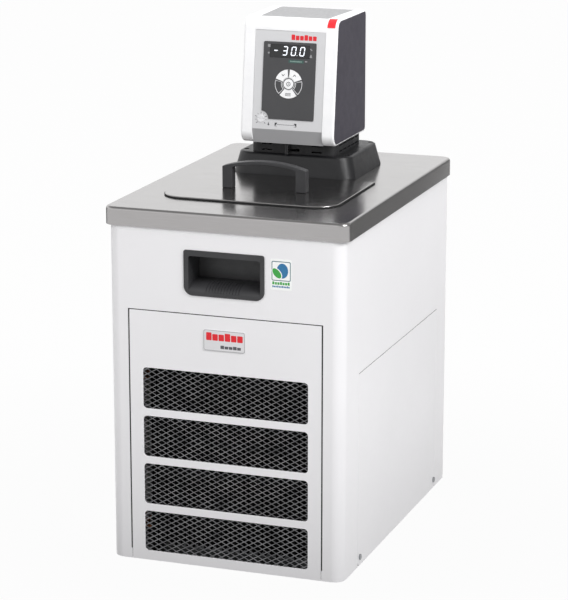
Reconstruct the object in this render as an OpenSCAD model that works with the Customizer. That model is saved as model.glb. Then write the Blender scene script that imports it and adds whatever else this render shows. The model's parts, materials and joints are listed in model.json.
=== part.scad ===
// Refrigerated circulator: a cabinet that holds the cooling machine, a stainless bath sunk in its
// steel top, and a control head that stands over the rear of the bath and drives its pump.
// Millimetres, +Z up, the front faces -Y, and the origin is on the floor below the middle of the top.

/* [Steel top] */
// Width of the steel top, the widest piece of the unit
top_w = 330; // [320:1:420]
// Depth of the steel top from its front edge to its rear edge
top_d = 470; // [460:1:600]
// Height of the steel top above the floor
top_z = 475; // [466:1:560]
// Height of the skirt folded down around the steel top
skirt_h = 24; // [14:1:28]
// Radius of the steel top's upright corners
top_corner_r = 15; // [8:1:28]
// Radius of the steel top's upper edge
top_edge_r = 4; // [2.5:0.5:8]
// Thickness of the stainless sheet
steel_t = 1.2; // [0.8:0.1:2]

/* [Cabinet] */
// Height of the rubber feet
foot_h = 4; // [3:0.5:12]
// Diameter of a rubber foot
foot_d = 36; // [20:1:50]
// Distance from a foot's middle to the cabinet's nearest walls
foot_inset = 46; // [36:1:70]
// How far the steel top stands out past each side wall
side_overhang = 5.5; // [3:0.5:12]
// How far the steel top stands out past the front wall
front_overhang = 1.7; // [1.7:0.1:8]
// How far the steel top stands out past the rear wall
rear_overhang = 4; // [3:0.5:12]
// Thickness of the painted sheet
sheet_t = 1.2; // [0.8:0.1:1.5]
// Radius of the cabinet's two front corners
cabinet_corner_r = 16; // [10:1:22]
// Thickness of the base pan
pan_t = 1.5; // [1:0.1:3]
// Height of the base pan's upturned rim
pan_lip = 8; // [4:0.5:8]
// Distance from the front wall to the front edge of the side panels
side_panel_inset = 64; // [50:1:90]
// Distance from the side panels' rear edges to the rear wall
side_panel_end = 46.3; // [30:0.1:70]
// Height of a side panel
side_panel_h = 262; // [200:1:300]
// Width of the seam around the removable panels
seam = 0.8; // [0.5:0.1:1.5]

/* [Venting grille] */
// Width of the pull-off grille
grille_w = 261; // [240:1:270]
// Height of the pull-off grille
grille_h = 338; // [325:1:342]
// Gap at each side of the grille
grille_side_gap = 1.8; // [1:0.1:3]
// Gap over the grille
grille_top_gap = 1.1; // [0.6:0.1:3]
// Depth of the grille's folded edges
grille_fold = 10; // [6:1:14]
// Width of a window in the grille
window_w = 225.2; // [160:1:230]
// Height of a window
window_h = 54.8; // [40:0.5:58]
// Bar left between two windows
window_bar = 10; // [6:0.5:16]
// Distance from the grille's lower edge to the first window
window_low = 13; // [13:0.5:24]
// Radius of a window's corners
window_r = 5; // [2:0.5:12]
// Number of windows
window_n = 4; // [2:1:4]
// Width of a diamond in the expanded metal, drawn four times as coarse as the real sheet
mesh_w = 49.4; // [45:0.2:60]
// Height of a diamond in the expanded metal
mesh_h = 27.5; // [24:0.5:40]
// Width of a strand of the expanded metal
mesh_strand = 2.6; // [1.5:0.1:4]
// Thickness of the expanded metal
mesh_t = 1; // [0.6:0.1:2]
// Width of the badge plate
badge_w = 56.5; // [30:0.5:80]
// Height of the badge plate
badge_h = 27.5; // [15:0.5:40]
// Thickness of the badge plate
badge_t = 0.8; // [0.5:0.1:1.2]

/* [Grip recess] */
// Width of the recessed grip's flange
grip_w = 109; // [90:1:140]
// Height of the flange
grip_h = 59; // [50:1:60]
// Height of the flange's lower edge above the grille
grip_gap = 25.4; // [20:0.2:28]
// Depth of the recess behind the front wall
grip_d = 40; // [28:1:44]
// Depth of the rolled lip that fingers slide over
roll_l = 22; // [14:0.5:26]
// Height of the rolled lip
roll_h = 11; // [6:0.5:12]
// Distance between the grooves on the lip
groove_pitch = 4; // [3:0.5:8]
// Wall of the moulded grip
grip_wall = 2.2; // [1.6:0.1:3]
// How far the flange stands proud of the front wall
grip_proud = 1.2; // [0.6:0.1:1.6]

/* [Bath] */
// Width of the steel top on each side of the bath opening
bath_side = 55; // [45:1:70]
// Length of the bath opening from front to back
bath_l = 150; // [120:1:160]
// Depth of the bath below the steel top
bath_depth = 150; // [120:1:160]
// Distance from the steel top's front edge to the bath opening
bath_front = 89; // [85:1:110]
// Radius of the bath's upright corners
bath_r = 20; // [12:1:30]
// Radius between the bath's walls and floor
bath_floor_r = 12; // [6:1:20]
// Thickness of the insulation around the bath
foam_t = 27; // [20:1:36]
// How far the lid lies over the steel top on each side of the opening
lid_lap = 10; // [8:0.5:20]
// Height of the lid's upper face above the steel top
lid_h = 2.6; // [2.2:0.1:5]
// Radius of the lid's two front corners
lid_r = 32; // [20:1:50]

/* [Lid handle] */
// Width over the handle's two legs
bow_w = 116; // [90:1:150]
// Width of a leg
bow_leg = 14; // [10:1:20]
// Height of the bow's shoulders above the lid
bow_h = 29; // [24:1:40]
// Rise of the bow from its shoulders to its middle
bow_rise = 9; // [4:0.5:16]
// Thickness of the bow's strap
bow_t = 4.8; // [3.5:0.1:7]
// Depth of the handle from front to back
bow_d = 13; // [10:1:20]

/* [Bridge and neck] */
// Width of the bridge plate at its foot
bridge_w = 173; // [160:1:190]
// Length of the bridge plate at its foot
bridge_l = 147; // [140:1:160]
// Height of the bridge plate
bridge_h = 30.5; // [26:0.5:40]
// How far its side walls lean in towards the top
bridge_draft = 6; // [2:0.5:8]
// Radius of its upright corners
bridge_r = 21; // [14:1:30]
// Radius of its upper edge
bridge_edge_r = 4.5; // [2:0.5:8]
// Wall of the bridge plate
bridge_wall = 3; // [2:0.1:4]
// Width of the vented neck between the bridge plate and the head
neck_w = 121; // [112:1:126]
// Length of the neck
neck_l = 112; // [106:1:116]
// Height of the neck
neck_h = 16.5; // [15:0.5:24]
// Radius of the neck's corners
neck_r = 12; // [6:1:20]
// Wall of the neck
neck_wall = 2.5; // [1.8:0.1:3]
// Length of a vent slot
slot_l = 14.5; // [8:0.5:16]
// Height of a vent slot
slot_h = 2; // [1.2:0.1:2.4]

/* [Control head] */
// Width of the head
head_w = 132; // [128:1:150]
// Height of the head
head_h = 167.5; // [160:0.5:190]
// Depth of the head at its lower edge
head_d = 141; // [134:1:150]
// Angle that the front leans back by
lean = 6.8; // [3:0.2:10]
// Wall of the head's white shell
shell_t = 3; // [2.4:0.1:4]
// Width of the grey front between the white cheeks
fascia_w = 99; // [94:1:104]
// Length of the grey front along its slope
fascia_l = 132; // [128:1:134]
// Height of the dark chamfer under the grey front
chamfer_h = 20; // [12:1:22]
// Thickness of the grey front
fascia_t = 2.5; // [2:0.1:3.2]
// Width of the dark keypad panel
keypad_w = 74; // [66:1:84]
// Length of the keypad panel along the slope
keypad_l = 103.4; // [98:0.2:108]
// Distance from the foot of the grey front to the keypad panel
keypad_low = 13.6; // [11:0.2:18]
// Thickness of the keypad panel
keypad_t = 1.6; // [1.2:0.1:2]
// Outer radius of the ring of keys
ring_r = 19.2; // [16:0.1:24]
// Inner radius of the ring of keys
ring_inner_r = 8.6; // [7.5:0.1:11]
// Radius of the middle key
ok_r = 6.6; // [5:0.1:7]
// Height of the ring's middle along the slope
ring_s = 61.5; // [50:0.5:68]
// Travel of a key
key_travel = 0.4; // [0.2:0.05:0.6]
// Radius of the over-temperature adjuster
adjuster_r = 5; // [3.5:0.1:6.5]
// Radius of the adjuster's scale disc
scale_r = 10.6; // [9:0.1:13]
// Rim left around the dark side panels
cheek_rim = 2.2; // [1.5:0.1:5]

/* [Pump] */
// Radius of the pump shaft
shaft_r = 4; // [3:0.5:5]
// Radial clearance of the shaft in its bearings
shaft_play = 0.05; // [0.02:0.01:0.1]
// Height of the pump's inlet above the bath floor
pump_lift = 22; // [12:1:40]
// Radius of the pump housing
pump_r = 22; // [16:1:24]
// Height of the pump housing
pump_h = 24; // [16:1:32]
// Radius of the motor
motor_r = 27; // [20:1:28]
// Height of the motor
motor_h = 78; // [60:1:90]
// Radius of the cooling coil and the heater around the pump shaft
coil_r = 26; // [25:0.5:27]
// Radius of the coil's tube
coil_tube_r = 3.5; // [2.5:0.1:3.5]
// Radius of a pump connector's thread
stub_r = 8; // [6:0.5:10]
// Length of a pump connector's thread
stub_l = 16; // [10:1:22]
// Angle that the flow selector stands at, to the left of straight ahead
selector_rest = 18; // [0:1:24]

/* [Cooling machine] */
// Width of the condenser's fin block
condenser_w = 220; // [180:1:236]
// Height of the fin block
condenser_h = 246; // [200:1:250]
// Depth of the fin block
condenser_d = 34; // [24:1:44]
// Number of fins
fin_n = 26; // [16:1:30]
// Radius of the fan's blades
fan_r = 94; // [80:1:96]
// Number of blades
blade_n = 7; // [5:1:9]
// Pitch of a blade
blade_pitch = 28; // [15:1:35]
// Radius of the compressor's shell
compressor_r = 72; // [55:1:76]
// Height of the compressor's shell
compressor_h = 176; // [140:1:190]

/* [Clearances] */
// Gap between pieces that only face each other
seat_gap = 0.3; // [0.2:0.05:0.5]

/* [Hidden] */
$fn = 48;

// Faces of the cabinet
side_x = top_w / 2 - side_overhang;
front_y = -top_d / 2 + front_overhang;
back_y = top_d / 2 - rear_overhang;
low_z = foot_h;
cover_z = top_z - steel_t;
floor_z = low_z + pan_t;
wall_x = side_x - sheet_t;

// Bath and lid
bath_w = top_w - 2 * bath_side;
tank_lo = [-bath_w / 2, -top_d / 2 + bath_front];
pump_bay = 86;
tank_hi = [bath_w / 2, tank_lo[1] + bath_l + pump_bay];
tank_z = top_z - bath_depth;
tank_flange = 8;
lid_lo = [tank_lo[0] - lid_lap, tank_lo[1] - lid_lap - 4];
lid_hi = [tank_hi[0] + lid_lap, tank_lo[1] + bath_l + lid_lap + 1.5];
foam_lo = tank_lo - [foam_t, foam_t];
foam_hi = tank_hi + [foam_t, foam_t];
foam_z = tank_z - foam_t;

// Bridge plate, neck and head, from the lid backwards
bridge_lo = [-bridge_w / 2, lid_hi[1] + 2.5];
bridge_hi = [bridge_w / 2, bridge_lo[1] + bridge_l];
bridge_top = top_z + bridge_h;
bay_lo = [-50, bridge_lo[1] + 7];
bay_hi = [50, tank_hi[1] - 1];
axis_y = (bay_lo[1] + bay_hi[1]) / 2;
neck_lo = [-neck_w / 2, bridge_lo[1] + 10];
neck_hi = [neck_w / 2, neck_lo[1] + neck_l];
head_z = bridge_top + neck_h;
head_top = head_z + head_h;
head_y = neck_lo[1] - 27;
head_back = head_y + head_d;
face_z = head_z + chamfer_h;
face_y = head_y + chamfer_h * tan(lean);
flange_t = 4;
flange_z = top_z + flange_t;

// Lower compartment
condenser_lo = front_y + sheet_t + mesh_t + 16;
condenser_hi = condenser_lo + condenser_d;
condenser_z = floor_z + 12;
shroud_y = condenser_hi + 4;
shroud_d = 30;
fan_z = condenser_z + condenser_h / 2;
fan_x = 0;
hub_r = 30;
hub_h = 26;
fan_motor_y = shroud_y + shroud_d + 6;
fan_shaft_r = 4;
compressor_y = back_y - compressor_r - 34;
compressor_x = 10;
compressor_z = floor_z + 14;
drain_x = 62;
drain_z = foam_z - 12;
drain_front = front_y + 26;
drain_tube_r = 7;

function unit(v) = v / norm(v);
function xy(p) = [p[0], p[1]];

// The two points where the arc at corner p touches its sides towards a and b
function arc_ends(a, p, b) =
    let (u = unit(xy(a) - xy(p)), v = unit(xy(b) - xy(p)), reach = p[2] / tan(acos(u * v) / 2))
    [xy(p) + u * reach, xy(p) + v * reach];

// The middle of the arc at corner p
function arc_middle(a, p, b) =
    let (u = unit(xy(a) - xy(p)), v = unit(xy(b) - xy(p)))
    xy(p) + unit(u + v) * p[2] / sin(acos(u * v) / 2);

// Convex outline through corners [x, y, radius], each rounded by its own radius
module rounded(corners) {
    n = len(corners);
    polygon([
        for (i = [0 : n - 1])
        for (q = arc_ends(corners[(i + n - 1) % n], corners[i], corners[(i + 1) % n])) q
    ]);
    for (i = [0 : n - 1])
        if (corners[i][2] > 0)
            translate(arc_middle(corners[(i + n - 1) % n], corners[i], corners[(i + 1) % n]))
                circle(corners[i][2]);
}

// Rectangle from lo to hi with rounded corners
module plate_outline(lo, hi, r = 0) {
    rounded([[lo[0], lo[1], r], [hi[0], lo[1], r], [hi[0], hi[1], r], [lo[0], hi[1], r]]);
}

// Upright block over a rounded rectangle
module slab(lo, hi, z0, z1, r = 0) {
    translate([0, 0, z0])
        linear_extrude(z1 - z0)
            plate_outline(lo, hi, r);
}

// Plain box between two corners
module block(lo, hi) {
    translate(lo)
        cube(hi - lo);
}

// Extrudes an outline drawn in X and Z from y0 to y1
module across(y0, y1) {
    translate([0, y1, 0])
        rotate([90, 0, 0])
            linear_extrude(y1 - y0)
                children();
}

// Extrudes an outline drawn in Y and Z from x0 to x1
module sideways(x0, x1) {
    translate([x0, 0, 0])
        rotate([90, 0, 90])
            linear_extrude(x1 - x0)
                children();
}

// Turned posts with a rounded upper edge at the four corners of a rectangle, for use inside a hull
module corner_posts(lo, hi, z0, z1, r, edge) {
    for (x = [lo[0] + r, hi[0] - r], y = [lo[1] + r, hi[1] - r])
        translate([x, y, 0])
            rotate_extrude()
                polygon([
                    [0, z0], [r, z0],
                    for (a = [0 : 30 : 90]) [r - edge + edge * cos(a), z1 - edge + edge * sin(a)],
                    [0, z1]
                ]);
}

// Block with rounded upright corners and a rounded upper edge
module soft_block(lo, hi, z0, z1, r, edge) {
    hull()
        corner_posts(lo, hi, z0, z1, r, edge);
}

// Tub with rounded upright corners and a rounded floor edge
module tub(lo, hi, z0, z1, r, edge) {
    translate([0, 0, z0 + z1])
        mirror([0, 0, 1])
            soft_block(lo, hi, z0, z1, r, edge);
}

// Straight round bar between two points
module bar(a, b, r) {
    v = b - a;
    translate(a)
        rotate([0, acos(v[2] / norm(v)), atan2(v[1], v[0])])
            cylinder(r = r, h = norm(v));
}

// Tube along a run of points, with a soldered elbow, drawn as a ball, at each bend
module tube_run(points, r) {
    elbow_r = r + 0.6;
    for (i = [0 : len(points) - 2])
        bar(points[i], points[i + 1], r);
    if (len(points) > 2)
        for (i = [1 : len(points) - 2])
            translate(points[i])
                sphere(elbow_r);
}

// Horizontal ring of round tube
module tube_ring(ring_radius, tube_radius) {
    rotate_extrude()
        translate([ring_radius, 0])
            circle(tube_radius);
}

// Puts its children on the head's sloping front: X along the width, Y up the slope, Z outwards
module on_face() {
    translate([0, face_y, face_z])
        rotate([90 - lean, 0, 0])
            children();
}

// Cabinet

rear_corner_r = 4;

module cabinet_plan(inset, corner_r) {
    rounded([
        [-side_x + inset, front_y + inset, corner_r], [side_x - inset, front_y + inset, corner_r],
        [side_x - inset, back_y - inset, rear_corner_r - inset],
        [-side_x + inset, back_y - inset, rear_corner_r - inset]
    ]);
}

side_lo = [front_y + side_panel_inset, low_z];
side_hi = [back_y - side_panel_end, low_z + side_panel_h];
rear_border = 14;

module grille_opening() {
    half = grille_w / 2;
    step_z = low_z + 14;
    polygon([
        [-half - seat_gap, low_z - 1], [half + seat_gap, low_z - 1], [half + seat_gap, step_z],
        [half + grille_side_gap, step_z], [half + grille_side_gap, low_z + grille_h + grille_top_gap],
        [-half - grille_side_gap, low_z + grille_h + grille_top_gap],
        [-half - grille_side_gap, step_z], [-half - seat_gap, step_z]
    ]);
}

// Upright fold behind each side of the grille opening, and the fold over it
module grille_reveal() {
    half = grille_w / 2 + grille_side_gap;
    z0 = floor_z + pan_lip + seat_gap;
    z1 = low_z + grille_h + grille_top_gap;
    for (side = [-1, 1])
        block([side * (half + sheet_t / 2) - sheet_t / 2, front_y, z0],
            [side * (half + sheet_t / 2) + sheet_t / 2, front_y + grille_fold + 6, z1]);
    block([-half - sheet_t, front_y, z1], [half + sheet_t, front_y + grille_fold + 6, z1 + sheet_t]);
}

// Strips behind the seam of a side panel, which carry it
module side_ledges() {
    lap = 9;
    x1 = wall_x;
    x0 = wall_x - sheet_t;
    for (y = [side_lo[0], side_hi[0]])
        block([x0, y - lap, low_z + 22], [x1, y + lap, side_hi[1] + lap]);
    block([x0, side_lo[0] - lap, side_hi[1] - lap], [x1, side_hi[0] + lap, side_hi[1] + lap]);
}

grip_lo = [-grip_w / 2, low_z + grille_h + grip_gap];
grip_hi = [grip_w / 2, grip_lo[1] + grip_h];
grip_edge = 5;

module cabinet_wrap() {
    color("whitesmoke") {
        difference() {
            translate([0, 0, low_z])
                linear_extrude(cover_z - low_z)
                    difference() {
                        cabinet_plan(0, cabinet_corner_r);
                        cabinet_plan(sheet_t, cabinet_corner_r - sheet_t);
                    }
            across(front_y - 1, front_y + sheet_t + 1)
                grille_opening();
            across(front_y - 1, front_y + sheet_t + 1)
                plate_outline(grip_lo + [grip_edge, grip_edge], grip_hi - [grip_edge, grip_edge], 4);
            for (x = [-side_x - 1, wall_x - 1])
                sideways(x, x + sheet_t + 2)
                    plate_outline(side_lo - [0, 2], side_hi);
            block([-side_x + rear_border, back_y - sheet_t - 1, low_z + rear_border],
                [side_x - rear_border, back_y + 1, cover_z - rear_border - skirt_h]);
            for (y = [front_y - 1, back_y - cabinet_corner_r])
                block([-side_x - 1, y, cover_z - top_edge_r],
                    [side_x + 1, y + cabinet_corner_r + 1, cover_z + 1]);
        }
        grille_reveal();
        side_ledges();
        mirror([1, 0, 0])
            side_ledges();
    }
}

screw_y = [side_lo[0] + 8, side_hi[0] - 6];
screw_z = low_z + 12;

module side_panel() {
    difference() {
        sideways(wall_x, side_x)
            difference() {
                plate_outline([side_lo[0] + seam, low_z], side_hi - [seam, seam], 1);
                for (y = [side_lo[0] + 1.5, side_hi[0] - 1.5])
                    translate([y, low_z])
                        circle(3.2);
            }
        for (y = screw_y)
            translate([wall_x - 1, y, screw_z])
                rotate([0, 90, 0])
                    cylinder(r = 2.2, h = sheet_t + 2);
    }
}

module side_panel_right() {
    color("white")
        side_panel();
}

module side_panel_left() {
    color("white")
        mirror([1, 0, 0])
            side_panel();
}

// Cross-head screws at the lower corners of the side panels
module side_screws() {
    color("dimgray")
        for (side = [0, 1], y = screw_y)
            mirror([side, 0, 0])
                translate([side_x, y, screw_z])
                    rotate([0, 90, 0])
                        difference() {
                            union() {
                                cylinder(r = 3.8, h = 1.8);
                                translate([0, 0, -sheet_t - 3])
                                    cylinder(r = 1.9, h = sheet_t + 3.2);
                            }
                            for (a = [0, 90])
                                rotate([0, 0, a])
                                    translate([-2.2, -0.4, 0.8])
                                        cube([4.4, 0.8, 2]);
                        }
}

rear_lo = [-side_x + 1.2, low_z + 2];
rear_hi = [side_x - 1.2, cover_z - skirt_h - 3];
inlet_at = [rear_lo[0] + 62.3, 92];
socket_at = [rear_hi[0] - 70.3, 92];
louvre_n = [3, 13];
louvre_pitch = [82, 12];
louvre_l = 66;
louvre_h = 5;
louvre_z = rear_lo[1] + 150;

module rear_panel() {
    color("whitesmoke")
        across(back_y, back_y + sheet_t)
            difference() {
                plate_outline(rear_lo, rear_hi, 2);
                for (i = [0 : louvre_n[0] - 1], k = [0 : louvre_n[1] - 1])
                    translate([(i - (louvre_n[0] - 1) / 2) * louvre_pitch[0], louvre_z + k * louvre_pitch[1]])
                        plate_outline([-louvre_l / 2, -louvre_h / 2], [louvre_l / 2, louvre_h / 2],
                            louvre_h / 2 - 0.1);
                translate(inlet_at)
                    plate_outline([-inlet_w / 2 - seat_gap, -inlet_h / 2 - seat_gap],
                        [inlet_w / 2 + seat_gap, inlet_h / 2 + seat_gap], 2);
                translate(socket_at)
                    plate_outline([-socket_w / 2 - seat_gap, -socket_h / 2 - seat_gap],
                        [socket_w / 2 + seat_gap, socket_h / 2 + seat_gap], 2);
            }
}

module base_pan() {
    lo = [-wall_x + seat_gap, front_y + sheet_t + seat_gap];
    hi = [wall_x - seat_gap, back_y - sheet_t - seat_gap];
    color("silver") {
        difference() {
            slab(lo, hi, low_z, floor_z + pan_lip, cabinet_corner_r - sheet_t);
            slab(lo + [pan_t, pan_t], hi - [pan_t, pan_t], floor_z, floor_z + pan_lip + 1,
                cabinet_corner_r - sheet_t - pan_t);
            block([-wall_x - 1, front_y, floor_z + pan_lip - pan_t], [wall_x + 1, lo[1] + 3, floor_z + pan_lip + 1]);
        }
        for (x = [-compressor_foot_x, compressor_foot_x])
            block([compressor_x + x - 9, compressor_y - compressor_r, floor_z],
                [compressor_x + x + 9, compressor_y + compressor_r, floor_z + 2]);
    }
}

module feet() {
    color([0.12, 0.12, 0.12])
        for (x = [-1, 1], y = [front_y + foot_inset, back_y - foot_inset])
            translate([x * (side_x - foot_inset), y, 0])
                cylinder(d = foot_d, h = foot_h);
}

// Leaf springs that grip the folded sides of the grille
module grille_clips() {
    half = grille_w / 2;
    color("dimgray")
        for (side = [0, 1], z = [low_z + 46, low_z + grille_h - 46])
            mirror([side, 0, 0])
                block([half + seat_gap, front_y + 5, z - 9], [half + grille_side_gap, front_y + 9, z + 9]);
}

// Points of the lip's quarter round, from the pocket's floor down to the flange
function roll_line(y, z, cut) = [
    for (t = [90 : -9 : 0])
        [y + roll_l - (roll_l - cut) * cos(t), z + (roll_h - cut) * sin(t)]
];

// Moulded grip: a flange on the front wall and a pocket whose floor rolls down to its lower edge
module grip_recess() {
    pocket_lo = grip_lo + [5.5, 16];
    pocket_hi = grip_hi - [5.5, 7.5];
    lip_z = pocket_lo[1] - roll_h;
    y0 = front_y - grip_proud;
    y1 = front_y + grip_d;
    color([0.22, 0.22, 0.23])
        difference() {
            union() {
                across(y0, front_y)
                    rounded([
                        [grip_lo[0], grip_lo[1], 12], [grip_hi[0], grip_lo[1], 12],
                        [grip_hi[0], grip_hi[1], 3], [grip_lo[0], grip_hi[1], 3]
                    ]);
                across(front_y - 0.2, y1)
                    plate_outline(grip_lo + [grip_edge + seat_gap, grip_edge + seat_gap],
                        grip_hi - [grip_edge + seat_gap, grip_edge + seat_gap], 4);
            }
            difference() {
                across(y0 - 1, y1 - grip_wall)
                    plate_outline([pocket_lo[0] + 1, lip_z], pocket_hi, 3);
                sideways(pocket_lo[0] - 4, pocket_hi[0] + 4)
                    polygon(concat(
                        [[y0 - 2, lip_z], [y0 - 2, lip_z - 2], [y1, lip_z - 2], [y1, pocket_lo[1]]],
                        roll_line(y0, lip_z, 0)
                    ));
            }
            for (i = [-6 : 5])
                translate([i * groove_pitch, 0, 0])
                    sideways(-0.5, 0.5)
                        polygon(concat(roll_line(y0, lip_z, 0.8), [[y0 - 1, lip_z], [y0 - 1, pocket_lo[1] + 1],
                            [y0 + roll_l, pocket_lo[1] + 1]]));
        }
}

// Venting grille

module venting_grille() {
    half = grille_w / 2;
    z1 = low_z + grille_h;
    color("whitesmoke") {
        across(front_y, front_y + sheet_t)
            difference() {
                plate_outline([-half, low_z], [half, z1], 1.2);
                for (i = [0 : window_n - 1])
                    translate([0, low_z + window_low + i * (window_h + window_bar)])
                        plate_outline([-window_w / 2, 0], [window_w / 2, window_h], window_r);
            }
        for (side = [-1, 1])
            block([side * (half - sheet_t / 2) - sheet_t / 2, front_y + sheet_t / 2, low_z + 20],
                [side * (half - sheet_t / 2) + sheet_t / 2, front_y + grille_fold, z1 - 2]);
        block([-half + 1.2, front_y + sheet_t / 2, z1 - sheet_t], [half - 1.2, front_y + grille_fold, z1]);
    }
}

// Rows of diamonds, each second row set half a cell to the side, trimmed to one window
module diamonds() {
    rows = ceil(window_h / mesh_h);
    cols = ceil(window_w / mesh_w / 2);
    gap = [mesh_w / 2 - mesh_strand, (mesh_w / 2 - mesh_strand) * mesh_h / mesh_w];
    intersection() {
        plate_outline([-window_w / 2 - 1, -1], [window_w / 2 + 1, window_h + 1], window_r);
        for (k = [-rows : rows], i = [-cols : cols])
            translate([(i + (abs(k) % 2) / 2) * mesh_w, (window_h + k * mesh_h) / 2])
                polygon([[-gap[0], 0], [0, -gap[1]], [gap[0], 0], [0, gap[1]]]);
    }
}

module grille_mesh() {
    edge = 4;
    stack = window_n * window_h + (window_n - 1) * window_bar;
    color([0.1, 0.1, 0.1])
        across(front_y + sheet_t, front_y + sheet_t + mesh_t)
            difference() {
                plate_outline([-window_w / 2 - edge, low_z + window_low - edge + 0.5],
                    [window_w / 2 + edge, low_z + window_low + stack + edge], 2);
                for (i = [0 : window_n - 1])
                    translate([0, low_z + window_low + i * (window_h + window_bar)])
                        diamonds();
            }
}

module badge_plate() {
    z0 = low_z + grille_h - 45;
    color("gainsboro")
        across(front_y - badge_t, front_y)
            rounded([
                [-badge_w / 2, z0, 4], [badge_w / 2, z0, 4],
                [badge_w / 2, z0 + badge_h, 2], [-badge_w / 2, z0 + badge_h, 2]
            ]);
}

// Top, bath and lid

module top_cover() {
    lo = [-top_w / 2, -top_d / 2];
    hi = [top_w / 2, top_d / 2];
    t2 = [steel_t, steel_t];
    color("silver")
        difference() {
            soft_block(lo, hi, top_z - skirt_h, top_z, top_corner_r, top_edge_r, $fn = 32);
            soft_block(lo + t2, hi - t2, top_z - skirt_h - 1, cover_z, top_corner_r - steel_t,
                top_edge_r - steel_t, $fn = 32);
            slab(tank_lo, [tank_hi[0], tank_lo[1] + bath_l], cover_z - 1, top_z + 1, bath_r);
            slab(bay_lo, bay_hi, cover_z - 1, top_z + 1, 6);
        }
}

module bath_tank() {
    t2 = [steel_t, steel_t];
    z1 = cover_z;
    flange = [tank_flange, tank_flange];
    color("lightgray")
        difference() {
            union() {
                tub(tank_lo - t2, tank_hi + t2, tank_z - steel_t, z1, bath_r + steel_t,
                    bath_floor_r + steel_t, $fn = 32);
                slab(tank_lo - flange, tank_hi + flange, z1 - steel_t, z1, bath_r + tank_flange);
            }
            tub(tank_lo, tank_hi, tank_z, z1 + 1, bath_r, bath_floor_r, $fn = 32);
            translate([drain_x, tank_lo[1] + 30, tank_z - steel_t - 1])
                cylinder(r = drain_tube_r - 2, h = steel_t + 2);
        }
}

module insulation() {
    gap = [steel_t + seat_gap, steel_t + seat_gap];
    color("khaki")
        difference() {
            slab(foam_lo, foam_hi, foam_z, cover_z - steel_t, 12);
            tub(tank_lo - gap, tank_hi + gap, tank_z - steel_t - seat_gap, cover_z + 1,
                bath_r + steel_t, bath_floor_r + steel_t, $fn = 32);
            translate([drain_x, tank_lo[1] + 30, foam_z - 1])
                cylinder(r = drain_tube_r + seat_gap, h = foam_t + 2);
        }
}

module lid_plan(inset, front_r) {
    rounded([
        [lid_lo[0] + inset, lid_lo[1] + inset, front_r], [lid_hi[0] - inset, lid_lo[1] + inset, front_r],
        [lid_hi[0] - inset, lid_hi[1] - inset, 6], [lid_lo[0] + inset, lid_hi[1] - inset, 6]
    ]);
}

// Shallow steel pan upside down on the top, with a locating rim that drops into the opening
module lid() {
    rim = [1, 1];
    t2 = [steel_t, steel_t];
    bath_hi = [tank_hi[0], tank_lo[1] + bath_l];
    color("silver") {
        difference() {
            hull() {
                translate([0, 0, top_z])
                    linear_extrude(lid_h - 1)
                        lid_plan(0, lid_r, $fn = 40);
                translate([0, 0, top_z + lid_h - 0.4])
                    linear_extrude(0.01)
                        lid_plan(0.3, lid_r - 0.3, $fn = 40);
                translate([0, 0, top_z + lid_h - 0.01])
                    linear_extrude(0.01)
                        lid_plan(1, lid_r - 1, $fn = 40);
            }
            translate([0, 0, top_z - 1])
                linear_extrude(lid_h + 1 - steel_t)
                    lid_plan(steel_t, lid_r - steel_t);
        }
        difference() {
            slab(tank_lo + rim, bath_hi - rim, top_z - 9, top_z + lid_h - steel_t / 2, bath_r - 1);
            slab(tank_lo + rim + t2, bath_hi - rim - t2, top_z - 10, top_z + lid_h, bath_r - 1 - steel_t);
        }
    }
}

handle_y = (lid_lo[1] + lid_hi[1]) / 2 - 8;
handle_z = top_z + lid_h;

// Bow handle: two legs under one flat arch
module lid_handle() {
    half = bow_w / 2;
    arch_r = (half * half + bow_rise * bow_rise) / (2 * bow_rise);
    arch_z = bow_h + bow_rise - arch_r;
    color([0.22, 0.22, 0.23])
        translate([0, handle_y, handle_z])
            across(-bow_d / 2, bow_d / 2)
                difference() {
                    intersection() {
                        translate([0, arch_z])
                            circle(arch_r, $fn = 200);
                        plate_outline([-half, 0], [half, bow_h + bow_rise], 1);
                    }
                    intersection() {
                        translate([0, arch_z])
                            circle(arch_r - bow_t, $fn = 200);
                        plate_outline([-half + bow_leg, -6], [half - bow_leg, bow_h + bow_rise], 5);
                    }
                }
}

// Bridge plate and neck

screw_reach = [72, 26];

module bridge_shape(inset) {
    lo = bridge_lo + [inset, inset];
    hi = bridge_hi - [inset, inset];
    lean_in = [bridge_draft, bridge_draft * 0.7];
    hull() {
        corner_posts(lo, hi, top_z - (inset > 0 ? 1 : 0), top_z + 2, bridge_r - inset, 0.5);
        corner_posts(lo + lean_in, hi - lean_in, bridge_top - inset - bridge_edge_r - 0.5,
            bridge_top - inset, bridge_r - inset, bridge_edge_r);
    }
}

function bridge_screw_points() = [
    for (x = [-1, 1], y = [bridge_lo[1] + screw_reach[1], bridge_hi[1] - screw_reach[1] + 7])
    [x * screw_reach[0], y]
];

// Row of vent slots cut from y0 to y1 through an upright wall
module slots_across(x_middles, y0, y1) {
    for (x = x_middles, row = [0, 1])
        translate([0, 0, slot_z(row)])
            across(y0, y1)
                plate_outline([x - slot_l / 2, -slot_h / 2], [x + slot_l / 2, slot_h / 2], slot_h / 2 - 0.1);
}

function slot_z(row) = bridge_top + neck_h * (0.24 + 0.5 * row);

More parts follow.
